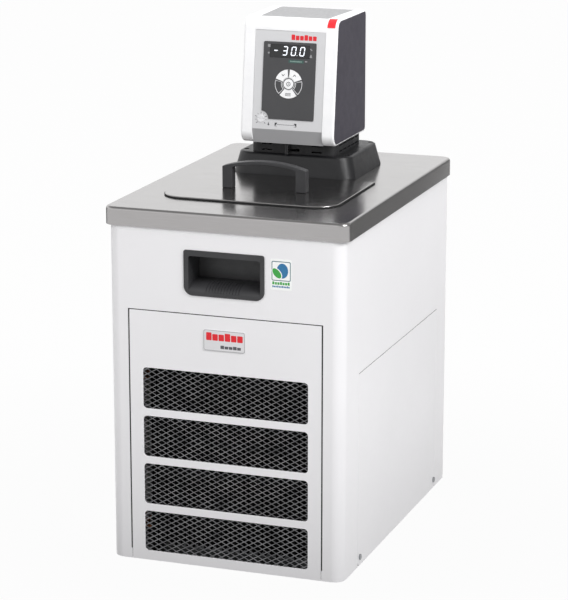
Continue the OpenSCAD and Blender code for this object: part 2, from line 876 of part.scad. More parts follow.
module bridge_plate() {
    color([0.2, 0.2, 0.21])
        difference() {
            union() {
                difference() {
                    bridge_shape(0, $fn = 32);
                    bridge_shape(bridge_wall, $fn = 32);
                }
                for (p = bridge_screw_points())
                    translate([p[0], p[1], top_z])
                        cylinder(r = 6.5, h = bridge_h - 1.5);
            }
            slab([-44, bay_lo[1] + 4], [44, bay_hi[1] + 6], bridge_top - bridge_wall - 1, bridge_top + 1, 6);
            for (p = bridge_screw_points()) {
                translate([p[0], p[1], top_z - 1])
                    cylinder(r = 2.4, h = bridge_h + 2);
                translate([p[0], p[1], bridge_top - 6])
                    cylinder(r = 3.6, h = 8);
            }
            for (x = stub_x)
                translate([x, bridge_hi[1] - 16, stub_z])
                    rotate([-90, 0, 0])
                        cylinder(r = stub_r + seat_gap, h = 24);
        }
}

module bridge_screws() {
    color("dimgray")
        for (p = bridge_screw_points())
            translate([p[0], p[1], bridge_top - 6])
                difference() {
                    union() {
                        cylinder(r = 3.4, h = 3.4);
                        translate([0, 0, 6 - bridge_h + 0.2])
                            cylinder(r = 2.2, h = bridge_h - 6);
                    }
                    translate([0, 0, 1.4])
                        cylinder(r = 1.9, h = 3, $fn = 6);
                }
}

selector_y = axis_y - 19;
selector_l = 19;
neck_bow_r = 24;
selector_slot = 9.5;

module neck() {
    side_slots = [for (i = [0 : 4]) neck_lo[1] + 22 + i * 17];
    color([0.13, 0.13, 0.14])
        difference() {
            union() {
                slab(neck_lo, neck_hi, bridge_top, head_z, neck_r);
                translate([0, neck_lo[1] + neck_bow_r - 3, bridge_top])
                    cylinder(r = neck_bow_r, h = neck_h);
            }
            slab(neck_lo + [neck_wall, neck_wall], neck_hi - [neck_wall, neck_wall], bridge_top - 1,
                head_z + 1, neck_r - neck_wall);
            slots_across([-37, 34], neck_lo[1] - 1, neck_lo[1] + neck_wall + 1);
            for (y = side_slots, row = [0, 1])
                translate([0, 0, slot_z(row)])
                    sideways(-neck_w, neck_w)
                        plate_outline([y - slot_l / 2, -slot_h / 2], [y + slot_l / 2, slot_h / 2],
                            slot_h / 2 - 0.1);
            block([-selector_slot, neck_lo[1] - 4, bridge_top + 3.9],
                [selector_slot, neck_lo[1] + 7, bridge_top + 7.5]);
        }
}

stub_x = [-24, 24];
stub_z = top_z + bridge_h / 2;

// Threaded supply and return stubs with hexagons at the rear of the bridge plate
module pump_connectors() {
    y0 = bridge_hi[1] - 12;
    color("lightgray")
        for (x = stub_x)
            translate([x, y0, stub_z])
                rotate([-90, 0, 0])
                    difference() {
                        union() {
                            cylinder(r = stub_r, h = 18 + stub_l);
                            translate([0, 0, 12.5])
                                cylinder(r = stub_r + 3, h = 5, $fn = 6);
                        }
                        translate([0, 0, -1])
                            cylinder(r = stub_r - 3, h = 40 + stub_l);
                    }
}

// Control head

cheek_x = fascia_w / 2;
side_round = 3;

// Corners of the head's side outline in Y and Z
head_corners = [
    [head_y, head_z, 14], [head_back, head_z, 6], [head_back, head_top, 9],
    [head_y + head_h * tan(lean), head_top, 14]
];

module head_outline() {
    rounded(head_corners);
}

module shell_block(inset) {
    half = head_w / 2 - inset;
    hull() {
        sideways(-half + side_round, half - side_round)
            offset(delta = -inset)
                head_outline();
        for (a = [30 : 30 : 90], side = [-1, 1]) {
            x = half - side_round + side_round * sin(a);
            sideways(side * x - 0.005, side * x + 0.005)
                offset(delta = -inset - side_round * (1 - cos(a)))
                    head_outline();
        }
    }
}

// Outline of a cheek's dark panel, which leaves a rim all round
module cheek_outline(inset) {
    rim = cheek_rim + inset;
    rounded([
        [head_y + rim * 1.1, head_z + rim, 13], [head_back - rim, head_z + rim, 4],
        [head_back - rim, head_top - rim, 5],
        [head_y + rim * 1.1 + (head_h - 2 * rim) * tan(lean), head_top - rim, 11]
    ]);
}

cheek_t = 1.4;
top_inset_t = 1.6;
inset_y = [face_y + (fascia_l + 12) * sin(lean) + 12, head_back - 11];

module top_inset_outline(gap) {
    rounded([
        [-48 + gap, inset_y[0] + gap, 3], [48 - gap, inset_y[0] + gap, 3],
        [53 - gap, inset_y[1] - gap, 3], [-53 + gap, inset_y[1] - gap, 3]
    ]);
}

head_open_lo = [-54, head_y + 15.5];
head_open_hi = [54, head_back - 8];
rear_open_lo = [-50, head_z + 10];
rear_open_hi = [50, head_top - 14];

module head_shell() {
    color("white")
        difference() {
            shell_block(0, $fn = 40);
            shell_block(shell_t, $fn = 40);
            on_face()
                block([-cheek_x, -chamfer_h - 6, -11], [cheek_x, fascia_l, 12]);
            slab(head_open_lo, head_open_hi, head_z - 1, head_z + shell_t + 1, 8);
            translate([0, 0, head_top - top_inset_t])
                linear_extrude(top_inset_t + 1)
                    top_inset_outline(0);
            across(head_back - shell_t - 1, head_back + 1)
                plate_outline(rear_open_lo, rear_open_hi, 4);
            for (x = [-head_w / 2 - 1, head_w / 2 - cheek_t])
                sideways(x, x + cheek_t + 1)
                    cheek_outline(0);
        }
}

module head_floor() {
    gap = [seat_gap, seat_gap];
    color([0.13, 0.13, 0.14])
        difference() {
            union() {
                slab(head_open_lo + gap, head_open_hi - gap, head_z, head_z + shell_t, 8 - seat_gap);
                slab(head_open_lo - [4, 0], head_open_hi + [4, 0], head_z + shell_t, head_z + shell_t + 2, 8);
            }
            translate([0, axis_y, head_z - 1])
                cylinder(r = shaft_r + 3, h = 8);
            translate([0, selector_y, head_z - 1])
                cylinder(r = 4, h = 8);
        }
}

// Grey front with its dark chamfer, one moulding
module fascia() {
    half = cheek_x - seat_gap;
    color("gainsboro")
        difference() {
            union() {
                on_face()
                    block([-half, 0, -fascia_t], [half, fascia_l - seat_gap, -0.4]);
                sideways(-half, half)
                    polygon([
                        [face_y + 0.4, face_z + 0.05], [face_y + 5, head_z + 0.5],
                        [face_y + 5 + fascia_t, head_z + 0.5], [face_y + fascia_t + 0.3, face_z + 0.35]
                    ]);
            }
            on_face()
                translate([0, 0, -keypad_t + 0.4])
                    linear_extrude(4)
                        keypad_outline(0);
            on_face()
                translate([adjuster_at[0], adjuster_at[1], -20])
                    cylinder(r = adjuster_r + shaft_play, h = 30);
        }
}

adjuster_at = [-keypad_w / 2 - 0.5, keypad_low];

module keypad_outline(gap) {
    difference() {
        plate_outline([-keypad_w / 2 + gap, keypad_low + gap],
            [keypad_w / 2 - gap, keypad_low + keypad_l - gap], 2);
        translate(adjuster_at)
            circle(scale_r + gap);
    }
}

// Sector of a ring between two angles
module ring_sector(inner, outer, a0, a1) {
    reach = outer * 2;
    intersection() {
        difference() {
            circle(outer);
            circle(inner);
        }
        polygon([[0, 0], reach * [cos(a0), sin(a0)], reach * [cos((a0 + a1) / 2), sin((a0 + a1) / 2)],
            reach * [cos(a1), sin(a1)]]);
    }
}

key_angles = [[20, 88], [92, 160], [232, 308]];
key_gap = 0.35;

// Outline of key i of the ring, grown by its gap where it is cut out of the panel
module ring_key(i, grow) {
    side = asin(grow / ring_inner_r);
    ring_sector(ring_inner_r - grow, ring_r + grow, key_angles[i][0] - side, key_angles[i][1] + side);
}

display_lo = [-28, keypad_low + keypad_l - 21];
display_hi = [28, keypad_low + keypad_l - 3.5];

module keypad_panel() {
    gap = [seat_gap, seat_gap] / 2;
    color([0.3, 0.3, 0.31])
        on_face()
            translate([0, 0, -keypad_t + 0.4])
                difference() {
                    linear_extrude(keypad_t)
                        difference() {
                            keypad_outline(0.15);
                            translate([0, ring_s])
                                circle(ok_r + key_gap);
                            for (i = [0 : 2])
                                translate([0, ring_s])
                                    ring_key(i, key_gap);
                        }
                    translate([0, 0, keypad_t - 0.8])
                        linear_extrude(2)
                            plate_outline(display_lo - gap, display_hi + gap, 1);
                }
}

module display_window() {
    color([0.05, 0.05, 0.06])
        on_face()
            translate([0, 0, 0.4 - 0.8])
                linear_extrude(0.7)
                    plate_outline(display_lo, display_hi, 1);
}

key_t = keypad_t - key_travel;

// A key stands in the panel with its travel left under it
module key_body() {
    on_face()
        translate([0, ring_s, 0.4 - keypad_t + key_travel])
            linear_extrude(key_t + key_travel + 0.3)
                children();
}

module key_ok() {
    color("white")
        key_body()
            circle(ok_r);
}

module key_up() {
    color("white")
        key_body()
            ring_key(0, 0);
}

module key_down() {
    color("white")
        key_body()
            ring_key(1, 0);
}

module key_menu() {
    color("white")
        key_body()
            ring_key(2, 0);
}

// Slotted spindle that sets the over-temperature cut-off
module cutoff_adjuster() {
    color("lightgray")
        on_face()
            translate([adjuster_at[0], adjuster_at[1], -fascia_t - 1.5])
                difference() {
                    cylinder(r = adjuster_r, h = fascia_t + 1.8);
                    translate([-adjuster_r, -0.6, fascia_t + 0.9])
                        cube([2 * adjuster_r, 1.2, 2]);
                }
}

module top_inset() {
    color("lightgray")
        translate([0, 0, head_top - top_inset_t])
            linear_extrude(top_inset_t - 0.3)
                top_inset_outline(0.25);
}

module cheek_panel() {
    sideways(head_w / 2 - cheek_t, head_w / 2 - 0.2)
        cheek_outline(0.2);
}

module cheek_panel_right() {
    color("dimgray")
        cheek_panel();
}

module cheek_panel_left() {
    color("dimgray")
        mirror([1, 0, 0])
            cheek_panel();
}

// Red corner mark laid over the rounded upper front edge of the right cheek
module corner_tab() {
    x0 = cheek_x + 1.5;
    bend = head_corners[3];
    color("red")
        sideways(x0, x0 + 11)
            translate(arc_middle(head_corners[2], bend, head_corners[0]))
                ring_sector(bend[2] + 0.02, bend[2] + 0.5, 98, 172 - lean);
}

switch_at = [30, head_z + 34];
switch_w = 15;
switch_h = 21;

module head_rear_cover() {
    gap = [seat_gap, seat_gap];
    color("whitesmoke")
        across(head_back - shell_t, head_back - 0.4)
            difference() {
                plate_outline(rear_open_lo + gap, rear_open_hi - gap, 4 - seat_gap);
                for (i = [0 : 9])
                    translate([0, head_top - 34 - i * 6])
                        plate_outline([-34, -1.5], [34, 1.5], 1.4);
                translate(switch_at)
                    plate_outline([-switch_w / 2 - 0.4, -switch_h / 2 - 0.4],
                        [switch_w / 2 + 0.4, switch_h / 2 + 0.4], 1);
            }
}

switch_axis = [head_back - shell_t + 1, switch_at[1]];

// Rocker whose two halves slope to a shallow ridge over the pivot
module mains_switch() {
    color([0.08, 0.08, 0.08])
        sideways(switch_at[0] - switch_w / 2, switch_at[0] + switch_w / 2)
            polygon([
                [switch_axis[0] - 6, switch_axis[1] - 7], [switch_axis[0] + 2.4, switch_axis[1] - 10],
                [switch_axis[0] + 2.2, switch_axis[1]], [switch_axis[0] + 4, switch_axis[1] + 9.6],
                [switch_axis[0] - 6, switch_axis[1] + 7]
            ]);
}

// Board behind the grey front, on four pillars
module display_board() {
    color("darkgreen")
        on_face() {
            block([-38, 14, -9.6], [38, 116, -8]);
            for (x = [-34, 34], y = [30, 112])
                translate([x, y, -8.2])
                    cylinder(r = 2.2, h = 8.2 - fascia_t);
        }
}

board_y = axis_y + motor_r + 22;

module control_board() {
    z0 = head_z + shell_t + 2;
    color("darkgreen") {
        block([-46, board_y, z0], [46, board_y + 1.6, z0 + 112]);
        block([-40, board_y - 12, z0 + 14], [-14, board_y, z0 + 44]);
        for (x = [2, 20], z = [z0 + 26, z0 + 62])
            translate([x, board_y, z])
                rotate([90, 0, 0])
                    cylinder(r = 7, h = 11);
        for (i = [0 : 4])
            block([-40 + i * 6, board_y - 10, z0 + 60], [-38 + i * 6, board_y, z0 + 96]);
    }
}

motor_z = head_z + shell_t + 2;
bearing_h = 10;

module pump_motor() {
    color("gray")
        translate([0, axis_y, motor_z])
            difference() {
                union() {
                    cylinder(r = motor_r, h = motor_h);
                    for (a = [45 : 90 : 315])
                        rotate([0, 0, a])
                            translate([motor_r + 2, 0, 0])
                                cylinder(r = 4, h = 5);
                    translate([0, 0, motor_h - 0.1])
                        cylinder(r = 14, h = 6);
                }
                translate([0, 0, -1])
                    cylinder(r = shaft_r + shaft_play, h = motor_h + 20);
                translate([0, 0, bearing_h])
                    cylinder(r = motor_r - 9, h = motor_h - 2 * bearing_h);
            }
}

impeller_z = tank_z + pump_lift + 8;

// Shaft with the motor's rotor at its upper end and the impeller at its lower end
module pump_rotor() {
    color("darkgray")
        translate([0, axis_y, 0]) {
            translate([0, 0, impeller_z])
                cylinder(r = shaft_r, h = motor_z + motor_h + 2 - impeller_z);
            translate([0, 0, motor_z + bearing_h + 1])
                cylinder(r = motor_r - 10, h = motor_h - 2 * bearing_h - 2);
            translate([0, 0, impeller_z - 1])
                cylinder(r = pump_r - 6, h = 1.6);
            for (i = [0 : 5])
                rotate([0, 0, i * 60])
                    translate([2, -0.8, impeller_z])
                        cube([pump_r - 8.5, 1.6, 7]);
        }
}

// Pump chamber hung from the flange by three pillars
module pump_housing() {
    z0 = tank_z + pump_lift;
    color("silver")
        difference() {
            union() {
                slab(bay_lo + [1, 1], bay_hi - [1, 1], cover_z - 1, flange_z, 5);
                slab(bay_lo - [3, 3], bay_hi + [3, 3], top_z, flange_z, 8);
                translate([0, axis_y, z0])
                    cylinder(r = pump_r, h = pump_h);
                for (a = [60, 180, 300])
                    rotate_about(a)
                        translate([pump_r - 6, 0, z0 + 2])
                            cylinder(r = 2.5, h = flange_z - z0 - 3);
            }
            translate([0, axis_y, z0 + 3])
                cylinder(r = pump_r - 4, h = pump_h - 9);
            translate([0, axis_y, z0 - 1])
                cylinder(r = 9, h = 8);
            translate([0, axis_y, z0])
                cylinder(r = shaft_r + shaft_play, h = pump_h + 8);
            translate([0, axis_y, cover_z - 2])
                cylinder(r = shaft_r + 2, h = 20);
            translate([0, selector_y, cover_z - 2])
                cylinder(r = 3.2, h = 20);
            translate([0, axis_y, z0 + 10])
                rotate([90, 0, 90])
                    cylinder(r = 4, h = 40);
            for (p = [probe_at, float_at])
                translate([p[0], p[1], cover_z - 2])
                    cylinder(r = 3.3, h = 20);
        }
}

// Turns its children about the pump's axis
module rotate_about(a) {
    translate([0, axis_y, 0])
        rotate([0, 0, a])
            children();
}

probe_at = [-40, axis_y - 16];
float_at = [41, axis_y + 4];

// Heater: two turns of steel tube and the legs that carry them
module heater_coil() {
    z0 = tank_z + pump_lift + pump_h + 14;
    color("gray")
        translate([0, axis_y, 0]) {
            for (k = [0, 1])
                translate([0, 0, z0 + k * (2 * coil_tube_r + 2)])
                    tube_ring(coil_r, coil_tube_r);
            for (side = [-1, 1])
                bar([side * coil_r, 0, z0], [side * coil_r, 0, cover_z - 1], coil_tube_r - 0.6);
        }
}

// Turns of steel tube at the left of the pump, whose two ends rise to the underside of the top
module cooling_coil() {
    pitch = 2 * coil_tube_r + 4;
    turn_r = 22;
    z0 = tank_z + pump_lift + 12;
    color("lightgray")
        translate([bay_lo[0] - 30, axis_y - 8, 0]) {
            for (k = [0 : 7])
                translate([0, 0, z0 + k * pitch])
                    tube_ring(turn_r, coil_tube_r);
            for (side = [-1, 1])
                bar([side * turn_r, 0, z0], [side * turn_r, 0, cover_z], coil_tube_r - 0.6);
        }
}

module temperature_probe() {
    color("silver")
        translate([probe_at[0], probe_at[1], cover_z - 110]) {
            sphere(3);
            cylinder(r = 3, h = 110 + flange_t + 6);
            translate([0, 0, 110 + steel_t + flange_t])
                cylinder(r = 5, h = 4);
        }
}

float_r = 8;
float_travel = 12;
float_low = cover_z - 74;

module level_guide() {
    color("silver")
        translate([float_at[0], float_at[1], 0]) {
            translate([0, 0, float_low - 6])
                cylinder(r = 5, h = 6);
            translate([0, 0, float_low - 1])
                cylinder(r = 2.2, h = 75 + steel_t + flange_t + 6);
            translate([0, 0, flange_z])
                cylinder(r = 5, h = 4);
            translate([0, 0, float_low + 20 + float_travel + 0.4])
                cylinder(r = 4.4, h = 3);
        }
}

module level_float() {
    color([0.1, 0.1, 0.1])
        translate([float_at[0], float_at[1], float_low])
            difference() {
                cylinder(r = float_r, h = 20);
                translate([0, 0, -1])
                    cylinder(r = 2.2 + 0.08, h = 22);
            }
}

// Lever on the spindle of the flow divider, with an upright finger in front of the neck
module flow_selector() {
    z_arm = bridge_top + 4.2;
    arm_h = 3;
    color([0.3, 0.3, 0.31])
        translate([0, selector_y, 0]) {
            translate([0, 0, tank_z + pump_lift + pump_h + 10])
                cylinder(r = 2, h = z_arm + arm_h - (tank_z + pump_lift + pump_h + 10));
            rotate([0, 0, -selector_rest]) {
                translate([-2, -selector_l, z_arm])
                    cube([4, selector_l, arm_h]);
                translate([0, -selector_l, bridge_top + 0.8])
                    cylinder(r = 2.7, h = neck_h - 2.5);
            }
        }
}

// Cooling machine

// Fins threaded on hairpin tubes between two end plates that stand on the base pan
module condenser() {
    half = condenser_w / 2;
    rows = 6;
    color("silver") {
        for (i = [0 : fin_n - 1])
            block([-half + 6 + i * (condenser_w - 12) / (fin_n - 1) - 0.4, condenser_lo + 2, condenser_z + 2],
                [-half + 6 + i * (condenser_w - 12) / (fin_n - 1) + 0.4, condenser_hi - 2,
                    condenser_z + condenser_h - 2]);
        for (side = [-1, 1])
            block([side * half - 1, condenser_lo, floor_z], [side * half + 1, condenser_hi, condenser_z + condenser_h]);
        for (k = [0 : rows - 1]) {
            z = condenser_z + (k + 0.5) * condenser_h / rows;
            y = (condenser_lo + condenser_hi) / 2;
            bar([-half - 6, y, z], [half + 6, y, z], 3.5);
        }
        for (k = [0 : rows - 2]) {
            z = condenser_z + (k + 0.5) * condenser_h / rows;
            x = (k % 2 == 0 ? 1 : -1) * (half + 6);
            y = (condenser_lo + condenser_hi) / 2;
            bar([x, y, z], [x, y, z + condenser_h / rows], 3.5);
        }
    }
}

// Plate with a round throat, standing on the base pan behind the condenser
module fan_shroud() {
    half = condenser_w / 2;
    motor_arm = 5;
    color([0.15, 0.15, 0.15]) {
        difference() {
            union() {
                block([-half - 4, shroud_y, floor_z], [half + 4, shroud_y + 1.5, condenser_z + condenser_h + 4]);
                translate([fan_x, shroud_y + shroud_d, fan_z])
                    rotate([90, 0, 0])
                        cylinder(r = fan_r + 5, h = shroud_d, $fn = 96);
            }
            translate([fan_x, shroud_y + shroud_d + 1, fan_z])
                rotate([90, 0, 0])
                    cylinder(r = fan_r + 3, h = shroud_d + 3, $fn = 96);
        }
        for (side = [-1, 1])
            block([side * (half + 4) - 0.75, condenser_lo, floor_z],
                [side * (half + 4) + 0.75, shroud_y + 1, floor_z + 20]);
        for (a = [45 : 90 : 315])
            translate([fan_x, shroud_y + shroud_d, fan_z])
                rotate([0, a, 0])
                    block([33, -2, -motor_arm], [fan_r + 4, 3, motor_arm]);
        for (a = [45 : 90 : 315])
            translate([fan_x, shroud_y + shroud_d, fan_z])
                rotate([0, a, 0])
                    block([33, 2, -motor_arm], [36, fan_motor_y - shroud_y - shroud_d + 14, motor_arm]);
    }
}

module fan_motor() {
    color("dimgray")
        translate([fan_x, fan_motor_y, fan_z])
            rotate([-90, 0, 0])
                difference() {
                    union() {
                        cylinder(r = 33, h = 22);
                        translate([0, 0, 21])
                            cylinder(r = 26, h = 24);
                    }
                    translate([0, 0, -1])
                        cylinder(r = fan_shaft_r + shaft_play, h = 36);
                }
}

// Axial fan: a hub on its shaft, with pitched blades trimmed to a circle
module fan_blades() {
    color([0.2, 0.2, 0.2])
        translate([fan_x, shroud_y + 9, fan_z])
            rotate([-90, 0, 0]) {
                cylinder(r = hub_r - 8, h = fan_motor_y - shroud_y - 9 - 1);
                cylinder(r = fan_shaft_r, h = fan_motor_y - shroud_y - 9 + 30);
                intersection() {
                    for (i = [0 : blade_n - 1])
                        rotate([0, 0, i * 360 / blade_n])
                            translate([hub_r - 10, 0, 6])
                                rotate([blade_pitch, 0, 0])
                                    translate([0, -22, -1])
                                        cube([fan_r, 44, 2]);
                    translate([0, 0, -8])
                        cylinder(r = fan_r, h = 30, $fn = 96);
                }
            }
}

compressor_foot_x = 62;

// Hermetic shell, turned from one profile, with its feet and terminal box
module compressor() {
    edge = 26;
    mid = compressor_h * 0.52;
    color([0.1, 0.1, 0.1])
        translate([compressor_x, compressor_y, compressor_z]) {
            rotate_extrude()
                union() {
                    square([compressor_r - edge, compressor_h]);
                    translate([0, edge])
                        square([compressor_r, compressor_h - 2 * edge]);
                    for (y = [edge, compressor_h - edge])
                        translate([compressor_r - edge, y])
                            intersection() {
                                circle(edge);
                                translate([0, -edge])
                                    square([edge, 2 * edge]);
                            }
                    translate([0, mid - 3])
                        square([compressor_r + 2.5, 6]);
                }
            for (x = [-compressor_foot_x, compressor_foot_x])
                block([x - 11, -compressor_r + 2, -2], [x + 11, compressor_r - 2, 1]);
            block([-compressor_foot_x, -16, -2], [compressor_foot_x, 16, 1]);
            block([-30, compressor_r - 8, mid + 8], [30, compressor_r + 20, mid + 62]);
        }
}

module compressor_mounts() {
    color([0.15, 0.15, 0.15])
        for (x = [-compressor_foot_x, compressor_foot_x], y = [-compressor_r + 14, compressor_r - 14])
            translate([compressor_x + x, compressor_y + y, floor_z + 2])
                cylinder(r = 8, h = compressor_z - 2 - floor_z - 2);
}

drier_x = -wall_x + 26;
drier_y = compressor_y - compressor_r - 20;
drier_z = floor_z + 60;

module filter_drier() {
    color("peru")
        translate([drier_x, drier_y, drier_z])
            rotate_extrude()
                polygon([[0, 0], [3.2, 0], [3.2, 8], [11, 20], [11, 78], [3.2, 90], [3.2, 98], [0, 98]]);
}

// Copper lines: discharge and liquid lines to and from the condenser, suction line from the bath
module refrigerant_pipes() {
    mid_y = (condenser_lo + condenser_hi) / 2;
    row_h = condenser_h / 6;
    right = condenser_w / 2 + 6;
    top_row = condenser_z + 5.5 * row_h;
    low_row = condenser_z + 0.5 * row_h;
    shell_top = compressor_z + compressor_h;
    color("peru") {
        tube_run([
            [-right, mid_y, top_row], [-right - 14, mid_y, top_row],
            [-right - 14, drier_y + 30, top_row], [compressor_x - 30, drier_y + 30, top_row],
            [compressor_x - 30, compressor_y - 20, top_row], [compressor_x - 30, compressor_y - 20, shell_top]
        ], 3);
        tube_run([
            [-right, mid_y, low_row], [drier_x, mid_y, low_row], [drier_x, drier_y - 40, low_row],
            [drier_x, drier_y, drier_z - 16], [drier_x, drier_y, drier_z]
        ], 3);
        tube_run([
            [drier_x, drier_y, drier_z + 98], [drier_x, drier_y, drier_z + 114],
            [drier_x + 42, drier_y, drier_z + 114], [drier_x + 42, drier_y, foam_z]
        ], 2);
        tube_run([
            [30, drier_y, foam_z], [30, drier_y, foam_z - 14], [compressor_x + 34, compressor_y, foam_z - 14],
            [compressor_x + 34, compressor_y, shell_top]
        ], 4);
    }
}

// Drain pipe from the bath's floor to the cock behind the grille
module drain_line() {
    y0 = tank_lo[1] + 30;
    spout_r = drain_tube_r + 0.6;
    run_l = y0 + drain_tube_r + 2 - drain_front;
    color("lightgray") {
        translate([drain_x, y0, drain_z])
            cylinder(r = drain_tube_r, h = tank_z - steel_t - drain_z);
        translate([drain_x, drain_front, drain_z])
            rotate([-90, 0, 0])
                rotate_extrude()
                    polygon([
                        [0, 9], [spout_r - 2, 9], [spout_r - 2, 0], [spout_r, 0],
                        [spout_r, 5], [11, 5], [11, 30], [spout_r, 30], [spout_r, run_l], [0, run_l]
                    ]);
        translate([drain_x, drain_front + 21, drain_z])
            cylinder(r = 5, h = 15);
    }
}

module drain_lever() {
    color("blue")
        translate([drain_x, drain_front + 21, drain_z + 15.1]) {
            cylinder(r = 6, h = 3);
            translate([0, -4, 0])
                cube([30, 8, 3]);
            translate([30, 0, 0])
                cylinder(r = 4, h = 3);
        }
}

inlet_w = 27;
inlet_h = 20;
socket_w = 32;
socket_h = 13;

// Recessed appliance inlet with three flat pins, and two fuse caps beside it
module mains_inlet() {
    color([0.08, 0.08, 0.08])
        translate([inlet_at[0], 0, inlet_at[1]]) {
            difference() {
                union() {
                    across(back_y - 22, back_y + sheet_t)
                        plate_outline([-inlet_w / 2, -inlet_h / 2], [inlet_w / 2, inlet_h / 2], 2);
                    across(back_y + sheet_t, back_y + sheet_t + 1)
                        plate_outline([-inlet_w / 2 - 9, -inlet_h / 2 - 3], [inlet_w / 2 + 9, inlet_h / 2 + 3], 3);
                }
                across(back_y - 16, back_y + sheet_t + 2)
                    plate_outline([-inlet_w / 2 + 2, -inlet_h / 2 + 2], [inlet_w / 2 - 2, inlet_h / 2 - 2], 2);
            }
            for (p = [[0, 3.2], [-7, -2.2], [7, -2.2]])
                block([p[0] - 1, back_y - 17, p[1] - 2], [p[0] + 1, back_y - 3, p[1] + 2]);
        }
}

// Socket for the head's control line and a round fuse cap
module rear_sockets() {
    color([0.12, 0.12, 0.12])
        translate([socket_at[0], 0, socket_at[1]])
            difference() {
                union() {
                    across(back_y - 10, back_y + sheet_t)
                        plate_outline([-socket_w / 2, -socket_h / 2], [socket_w / 2, socket_h / 2], 2);
                    across(back_y + sheet_t, back_y + sheet_t + 1)
                        plate_outline([-socket_w / 2 - 6, -socket_h / 2 - 2], [socket_w / 2 + 6, socket_h / 2 + 2], 2);
                }
                across(back_y - 6, back_y + sheet_t + 2)
                    rounded([[-12, -4, 1.5], [12, -4, 1.5], [13.5, 4, 1.5], [-13.5, 4, 1.5]]);
            }
}

cabinet_wrap();
side_panel_left();
side_panel_right();
side_screws();
rear_panel();
base_pan();
feet();
grille_clips();
grip_recess();
venting_grille();
grille_mesh();
badge_plate();
top_cover();
bath_tank();
insulation();
lid();
lid_handle();
bridge_plate();
bridge_screws();
neck();
pump_connectors();
head_shell();
head_floor();
fascia();
top_inset();
head_rear_cover();
cheek_panel_left();
cheek_panel_right();
corner_tab();
keypad_panel();
display_window();
key_ok();
key_up();
key_down();
key_menu();
cutoff_adjuster();
flow_selector();
mains_switch();
display_board();
control_board();
pump_motor();
pump_rotor();
pump_housing();
heater_coil();
cooling_coil();
temperature_probe();
level_guide();
level_float();
condenser();
fan_shroud();
fan_motor();
fan_blades();
compressor();
compressor_mounts();
filter_drier();
refrigerant_pipes();
drain_line();
drain_lever();
mains_inlet();
rear_sockets();
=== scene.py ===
"""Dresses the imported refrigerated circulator: finishes, expanded metal, printed panel, sticker and studio."""

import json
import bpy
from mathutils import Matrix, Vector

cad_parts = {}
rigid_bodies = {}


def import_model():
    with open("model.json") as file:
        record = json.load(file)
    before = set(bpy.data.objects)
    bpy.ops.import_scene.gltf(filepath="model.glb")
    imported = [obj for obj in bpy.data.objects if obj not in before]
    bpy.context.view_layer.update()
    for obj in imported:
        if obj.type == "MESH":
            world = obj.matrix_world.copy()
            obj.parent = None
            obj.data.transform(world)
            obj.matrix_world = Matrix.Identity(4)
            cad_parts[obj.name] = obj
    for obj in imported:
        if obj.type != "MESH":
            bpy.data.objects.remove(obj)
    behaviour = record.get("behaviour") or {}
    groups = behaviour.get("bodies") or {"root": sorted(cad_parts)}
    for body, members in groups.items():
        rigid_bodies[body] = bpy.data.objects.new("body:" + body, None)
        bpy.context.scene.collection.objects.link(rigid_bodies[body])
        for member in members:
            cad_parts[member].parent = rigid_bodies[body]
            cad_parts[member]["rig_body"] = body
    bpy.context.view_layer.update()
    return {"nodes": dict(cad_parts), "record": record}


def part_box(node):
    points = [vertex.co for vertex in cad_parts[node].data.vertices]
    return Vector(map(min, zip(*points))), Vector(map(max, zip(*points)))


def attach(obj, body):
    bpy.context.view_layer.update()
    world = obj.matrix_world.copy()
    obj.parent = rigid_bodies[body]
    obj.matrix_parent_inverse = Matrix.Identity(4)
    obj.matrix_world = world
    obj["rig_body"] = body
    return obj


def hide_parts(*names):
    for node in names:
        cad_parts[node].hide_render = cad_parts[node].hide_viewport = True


bl_info = {
    "name": "Refrigerated Circulator",
    "version": (1, 0, 0),
    "blender": (4, 5, 0),
    "location": "View3D > Sidebar > Circulator",
    "description": "Finishes and fine detail for a refrigerated circulator",
    "category": "Object",
}

from math import cos, pi, radians, sin, tan

import bpy
from mathutils import Matrix, Vector

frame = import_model()
MM = 0.001

# The head's sloping front, as it stands in the frame: its lean, its foot, and the heights of its layers in mm
FACE_LEAN = radians(6.8)
FACE_FOOT = Vector((0.0, 0.003385, 0.542))
KEYPAD_FACE = 0.4
FASCIA_FACE = -0.4
DISPLAY_FACE = 0.3
KEY_FACE = 1.1
HEAD_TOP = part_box("head_shell")[1].z

# The ring of keys, the adjuster's dial and the digits on that front, in mm from the middle of its foot
RING_HEIGHT = 61.5
RING_INNER = 9.7
RING_OUTER = 19.2
RING_LINE = 0.75
SIGN_RADIUS = 14.0
DIAL_CENTRE = (-37.5, 13.6)
DIAL_TICKS = 9
DIGIT_LEVEL = 105.2
DIGIT_PITCH = 12.1
LAST_DIGIT = 17.6

# The proportions of a digit
DIGIT_WIDTH = 0.46
DIGIT_STROKE = 0.105
DIGIT_SLANT = tan(radians(8))

# Thickness of one layer of print in mm
INK = 0.06
THIN_INK = 0.05

# The cabinet's front wall, the windows of its grille and the place of its sticker, in mm but for FRONT_Y
FRONT_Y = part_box("venting_grille")[0].y
WINDOW_LOW = 17.0
WINDOW_HEIGHT = 54.8
WINDOW_STEP = 64.8
WINDOW_COUNT = 4
WINDOW_MARGIN = 2.5
MESH_MARGIN = 2.0
STICKER = (76.6, 403.4)

# The expanded metal's gauge, and how far its strands are twisted out of the sheet
GAUGE = 0.42 * MM
TWIST = 0.28 * MM

# The dark strips of painted shade in the gaps around the grille, the lid and the side panels, in mm
GRILLE_SHADE_TOP = 1.0
GRILLE_SHADE_PLAY = 0.05
LID_CORNER = 32.0
LID_PLAY = 0.02
LID_SHADE_STRIP_HEIGHT = 1.7
SEAM = 0.55
SHADE_STRIP_DEPTH = 0.85

